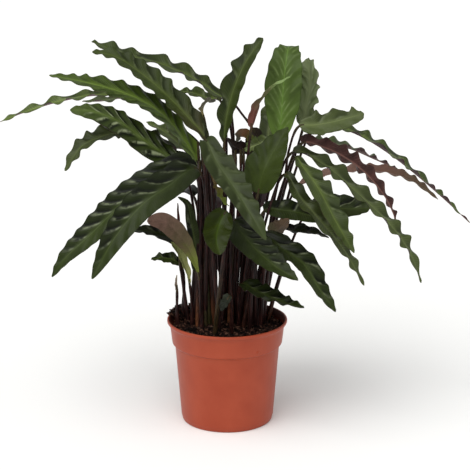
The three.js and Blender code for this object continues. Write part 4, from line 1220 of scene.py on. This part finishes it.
def leaf_upper(look):
    """The waxy upper face."""
    # The first colour is a dark tone that also paints shade, the third also paints highlights, and the first
    # two strengths set how much painted shade and painted highlight show
    *colours, hollows, highlight_strength, glow, vein_strength = FACES[look]
    dark_tone_and_painted_shade, ground, vein_and_highlight_colour, rib_colour = (linear(c) for c in colours)
    material, tree, shader = new_material(f"waxy_leaf_face_{look}", {
        "IOR": 1.42, "Specular IOR Level": 0.17, "Roughness": 0.36})
    here = leaf_values(tree)
    share = here["share"]
    cloud, patches = (
        add(tree, "TexNoise", None, {
            "Vector": here["position"], "Scale": repeats(size), "Detail": detail}).outputs["Fac"]
        for size, detail in ((CLOUDS, 4.0), (PATCHES, 2.0)))
    veins = side_veins(tree, here, CHEVRON_SPACING if look == "chevron" else VEIN_SPACING)
    wide = add(tree, "Math", {"operation": "ABSOLUTE"}, {0: here["outwards"]}).outputs[0]
    from_rib = add(tree, "Math", {"operation": "ABSOLUTE"}, {0: here["across"]}).outputs[0]

    # The ground: a little lighter in clouds, towards the midrib and along the side veins
    colour = layer(tree, layer(tree, dark_tone_and_painted_shade, ground, 0.65), ground, (cloud, 0.25, 0.8))
    if look in BASE_TINT:
        colour = layer(tree, colour, linear(BASE_TINT[look]), (share, 0.4, 0.05), 0.8)
    fade = add(tree, "Math", {"operation": "ADD"}, {
        0: coverage(tree, (share, 0.7, 0.1), 0.5 * glow), 1: 0.3 * glow}).outputs[0]
    colour = layer(tree, colour, rib_colour, (wide, 0.42, 0.02), fade)
    colour = layer(tree, colour, vein_and_highlight_colour, veins, (wide, 1.1, 0.2), 0.7 * vein_strength)

    # Painted shade in the hollows of the quilting and painted highlights on its flanks, which drift a
    # little from the ripples of the mesh
    ripples = add(tree, "Math", {"operation": "MULTIPLY_ADD"}, {
        0: cloud, 1: 0.5, 2: here["ripples"]}).outputs[0]
    quilted = coverage(tree, (here["outwards"], 0.03, 0.2), (share, 0.97, 0.7))
    # Painted shade darkens the whole quilted half a little
    colour = layer(tree, colour, dark_tone_and_painted_shade, quilted, (wide, 0.1, 0.4), 0.4 * hollows)
    colour = layer(tree, colour, dark_tone_and_painted_shade, crests(tree, ripples, 1.1, 0.19), (wide, 0.08, 0.3),
                   (wide, 1.1, 0.8), quilted, hollows)
    colour = layer(tree, colour, vein_and_highlight_colour, crests(tree, ripples, 6.0, -0.02), (patches, 0.35, 0.6),
                   (wide, 1.05, 0.6), quilted, highlight_strength)

    # The midrib, thinning to the tip, and the dark margin
    colour = layer(tree, colour, rib_colour, (from_rib, 1.0, 0.2), (share, 1.0, 0.75), 0.25 + 0.45 * glow)
    colour = layer(tree, colour, dark_tone_and_painted_shade, (wide, 0.93, 0.99), 0.6)
    rough = add(tree, "MapRange", None, {"Value": cloud, "To Min": 0.28, "To Max": 0.44})
    tree.links.new(rough.outputs["Result"], shader.inputs["Roughness"])
    finish(tree, shader, colour, here["tone"], weighted(tree, veins, vein_strength, cloud, 0.8), 0.4)
    return material


upper_faces = {look: leaf_upper(look) for look in FACES}
print("upper faces:", ", ".join(upper_faces))

# %% [markdown]
# ### Velvety underside
# The underside is wine red, and fine hairs give it the soft sheen of velvet, which stands for a fur
# that is much too fine to model. Its veins and midrib are raised and paler. Painted shade darkens it
# in the hollows of its ripples.

# %% Undersides
UNDER_CLOUDS = 14.3
# Each kind: the colours of the dark clouds and of the painted shade in the hollows, of the ground,
# and of the veins
UNDERSIDES = {
    "dark": ("#231012", "#3c1d1e", "#56332e"),
    "green": ("#281517", "#432324", "#603b34"),
    "bright": ("#2f1c1a", "#4d2e29", "#6d4a3c"),
    "grey": ("#281618", "#432526", "#603c36"),
    "red": ("#2c1c1a", "#4c302c", "#6c4d44"),
}


def leaf_under(kind):
    """The velvety wine red underside: fine hairs give it a soft sheen."""
    dark_clouds_and_painted_shade, ground, vein_colour = (linear(c) for c in UNDERSIDES[kind])
    material, tree, shader = new_material(f"velvety_leaf_underside_{kind}", {
        "IOR": 1.4, "Specular IOR Level": 0.25, "Roughness": 0.62,
        "Sheen Weight": 0.12, "Sheen Roughness": 0.4})
    here = leaf_values(tree)
    cloud = add(tree, "TexNoise", None, {
        "Vector": here["position"], "Scale": repeats(UNDER_CLOUDS), "Detail": 4.0}).outputs["Fac"]
    veins = side_veins(tree, here, VEIN_SPACING)
    # Painted shade: darker where the ripples make hollows seen from below, and lighter in the clouds
    shaded = weighted(tree, crests(tree, here["ripples"], 1.0), -0.4, cloud, 1.0)
    from_rib = add(tree, "Math", {"operation": "ABSOLUTE"}, {0: here["across"]}).outputs[0]
    colour = layer(tree, dark_clouds_and_painted_shade, ground, (shaded, -0.1, 0.8))
    colour = layer(tree, colour, vein_colour, veins, 0.15)
    colour = layer(tree, colour, vein_colour, (from_rib, 1.6, 0.8), 0.6)
    finish(tree, shader, colour, here["tone"], weighted(tree, veins, 0.3, cloud, 0.6), 0.5)
    return material


undersides = {kind: leaf_under(kind) for kind in UNDERSIDES}
print("undersides:", ", ".join(undersides))

# %% [markdown]
# ### Young and withered leaves
# A young leaf is thin and papery, and still pink, yellow green or brown, and a withered one dries to
# olive and brown. Both show the same colours on both faces, so one material serves for the two, with
# three colours from the base to the tip that run into each other along a cloudy line.

# %% Young and withered leaves
PAPER_CLOUDS = 6.25
# Each leaf: the colours at the base, the middle and the tip
YOUNG = {
    "young_pink": ("#86923f", "#6a5c42", "#8c6d5e"),
    "young_rolled": ("#8a8c5a", "#75784a", "#5e6238"),
    "right_pink": ("#7a6056", "#5d4238", "#524433"),
    "top_thin": ("#4a2a24", "#3f3a26", "#56663c"),
    "shoot_left": ("#3c1c18", "#4c2420", "#4c2420"),
    "stub_left": ("#4a3a2c", "#8a7a6a", "#a09484"),
    "withered_left": ("#8a7f50", "#74705c", "#6c6c60"),
    "withered_centre": ("#5f642c", "#6e4a2a", "#5c5a4c"),
    "curled_dark": ("#2a2218", "#2c1e18", "#241a15"),
    "centre_lime": ("#4a3319", "#51421c", "#5d6a27"),
    "right_tan": ("#57503a", "#5c4c3c", "#66523f"),
    "low_centre": ("#3c4232", "#2e3426", "#23281c"),
}


def young_leaf(name):
    """A thin young or withered leaf, the same on both faces, that changes colour towards its tip."""
    base, middle, tip = (linear(c) for c in YOUNG[name])
    material, tree, shader = new_material(f"papery_leaf_{name}", {
        "IOR": 1.4, "Specular IOR Level": 0.25, "Roughness": 0.55})
    here = leaf_values(tree)
    cloud = add(tree, "TexNoise", None, {
        "Vector": here["position"], "Scale": repeats(PAPER_CLOUDS), "Detail": 4.0}).outputs["Fac"]
    turns = add(tree, "Math", {"operation": "DIVIDE"}, {0: here["along"], 1: VEIN_SPACING}).outputs[0]
    veins = crests(tree, turns, 2.0)
    cloudy_share = weighted(tree, here["share"], 1.0, cloud, 0.3)
    colour = layer(tree, base, middle, (cloudy_share, 0.3, 0.65))
    colour = layer(tree, colour, tip, (cloudy_share, 0.65, 1.05))
    mottle = add(tree, "Math", {"operation": "ADD"}, {
        0: weighted(tree, veins, 0.06, cloud, 0.5), 1: 0.72}).outputs[0]
    finish(tree, shader, colour, coverage(tree, mottle, here["tone"]),
           weighted(tree, veins, 0.3, cloud, 1.0), 0.4)
    return material


papery_leaves = {name: young_leaf(name) for name in YOUNG}
print(len(papery_leaves), "papery leaves")

# %% [markdown]
# ### Fibrous stalk
# Stalks are dark wine brown, and their fibres show as fine lengthwise streaks: noise that is drawn out
# twenty times along the height. Near the peat a few are orange brown and some are olive, which their
# random tone decides, and the joint under the blade is paler. The fibres are drawn at 0.9 mm, coarser
# than real ones, so that they show.

# %% Stalk material
FIBRES = dict(across=0.909, along=18.2)
STALK_CLOUDS = 16.7


def stalk_material():
    """Stalks: dark wine brown with fine lengthwise fibres. A few are orange brown or olive below."""
    material, tree, shader = new_material("fibrous_leaf_stalk", {
        "IOR": 1.42, "Specular IOR Level": 0.22, "Roughness": 0.42})
    here = leaf_values(tree)
    height, climb, tone = here["along"], here["share"], here["tone"]
    across, along = repeats(FIBRES["across"]), repeats(FIBRES["along"])
    stretched = add(tree, "VectorMath", {"operation": "MULTIPLY"}, {
        0: here["position"], 1: (across, across, along)}).outputs[0]
    fibres = add(tree, "TexNoise", None, {"Vector": stretched, "Scale": 1.0, "Detail": 3.0}).outputs["Fac"]
    cloud = add(tree, "TexNoise", None, {
        "Vector": here["position"], "Scale": repeats(STALK_CLOUDS), "Detail": 3.0}).outputs["Fac"]
    colour = layer(tree, linear("#140807"), linear("#3a1d19"), (fibres, 0.35, 0.7))
    colour = layer(tree, colour, linear("#6a4a3c"), (fibres, 0.6, 0.8), (climb, 0.8, 0.1), 0.5)
    colour = layer(tree, colour, linear("#75482c"), (height, 50.0, 0.0), (tone, 0.8, 0.9), 0.8)
    colour = layer(tree, colour, linear("#3c3d1a"), (height, 110.0, 30.0), (tone, 0.15, 0.06), 0.7)
    colour = layer(tree, colour, linear("#0d0504"), (fibres, 0.55, 0.4), 0.6)
    colour = layer(tree, colour, linear("#4a4728"), (climb, 0.93, 0.99), 0.4)
    mottle = add(tree, "Math", {"operation": "MULTIPLY_ADD"}, {0: cloud, 1: 0.5, 2: 0.75}).outputs[0]
    finish(tree, shader, colour, mottle, fibres, 0.4)
    return material


petiole = stalk_material()
print(petiole.name, "has", len(petiole.node_tree.nodes), "nodes")

# %% [markdown]
# ### One piece for each leaf
# A leaf's blade and stalk are put in one mesh, with three material slots: upper face, underside and
# stalk. Each leaf draws its random drift from its own seed, so one row can change without the rest.

# %% Leaves
FIRST_LEAF_SEED = 100
STALK_SLOT = 2


def stacked(stored):
    """The vectors stored for several meshes, one after the other, for the mesh that joins them."""
    return {label: np.concatenate([vectors[label] for vectors in stored]) for label in stored[0]}


triangles = 0
for seed, (leaf, line) in enumerate(zip(LEAVES, lines), FIRST_LEAF_SEED):
    dice = np.random.default_rng(seed)
    blade_points, blade_faces, blade_slots, blade_stored = blade(leaf, line, dice)
    stalk_points, stalk_faces, stalk_stored = stalk(line, dice)
    if leaf["name"] in papery_leaves:
        face = underside = papery_leaves[leaf["name"]]
    else:
        face, underside = upper_faces[leaf.get("look", leaf["kind"])], undersides[leaf["kind"]]
    piece = make_object(
        "leaf_" + leaf["name"] + "_grown",
        *joined([(blade_points, blade_faces), (stalk_points, stalk_faces)]),
        [face, underside, petiole],
        blade_slots + [STALK_SLOT] * len(stalk_faces),
        stacked([blade_stored, stalk_stored]),
        sharp_degrees=60)
    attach(piece, "root")
    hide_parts("leaf_" + leaf["name"])
    triangles += sum(len(polygon.vertices) - 2 for polygon in piece.data.polygons)
print("leaves hold", triangles, "triangles")

# %% [markdown]
# ### Bare stalks
# The bunch is denser than the leaves in sight account for: bare stalks stand between the others. Each
# one runs from a place in the peat, in mm from the pot's axis, to a picture point behind the blades,
# so its cut end doesn't show. A group gives the ranges that both are drawn from, and all the stalks
# are one mesh.

# %% Bare stalks
STALK_GROUPS = [
    dict(count=16, x=(-36, -10), y=(-8, 22), across=(198, 209), down=(142, 172), depth=(30, 45)),
    dict(count=14, x=(-8, 36), y=(0, 26), across=(224, 266), down=(222, 236), depth=(15, 35)),
    dict(count=9, x=(-6, 24), y=(14, 34), across=(233, 258), down=(153, 160), depth=(34, 46)),
]
FIRST_STALK_SEED = 300
HIDDEN_END = dict(aside=-0.5, up=10)

bare_parts, bare_stored = [], []
groups = [group for group in STALK_GROUPS for k in range(group["count"])]
for seed, group in enumerate(groups, FIRST_STALK_SEED):
    dice = np.random.default_rng(seed)
    step = dice.uniform()
    root = (np.interp(step, (0, 1), group["x"]), dice.uniform(*group["y"]))
    across = np.interp(step, (0, 1), group["across"])
    down, depth = dice.uniform(*group["down"]), dice.uniform(*group["depth"])
    rib = [(across, down, depth), (across + HIDDEN_END["aside"], down - HIDDEN_END["up"], depth)]
    points, faces, stored = stalk(GrowthLine({"root": root, "rib": rib, "roll": (0, 0)}), dice)
    bare_parts.append((points, faces))
    bare_stored.append(stored)
bare = make_object("bare_stalks", *joined(bare_parts), [petiole], None, stacked(bare_stored),
                   sharp_degrees=60)
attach(bare, "root")
print(len(bare_parts), "bare stalks,", len(bare.data.polygons), "faces")
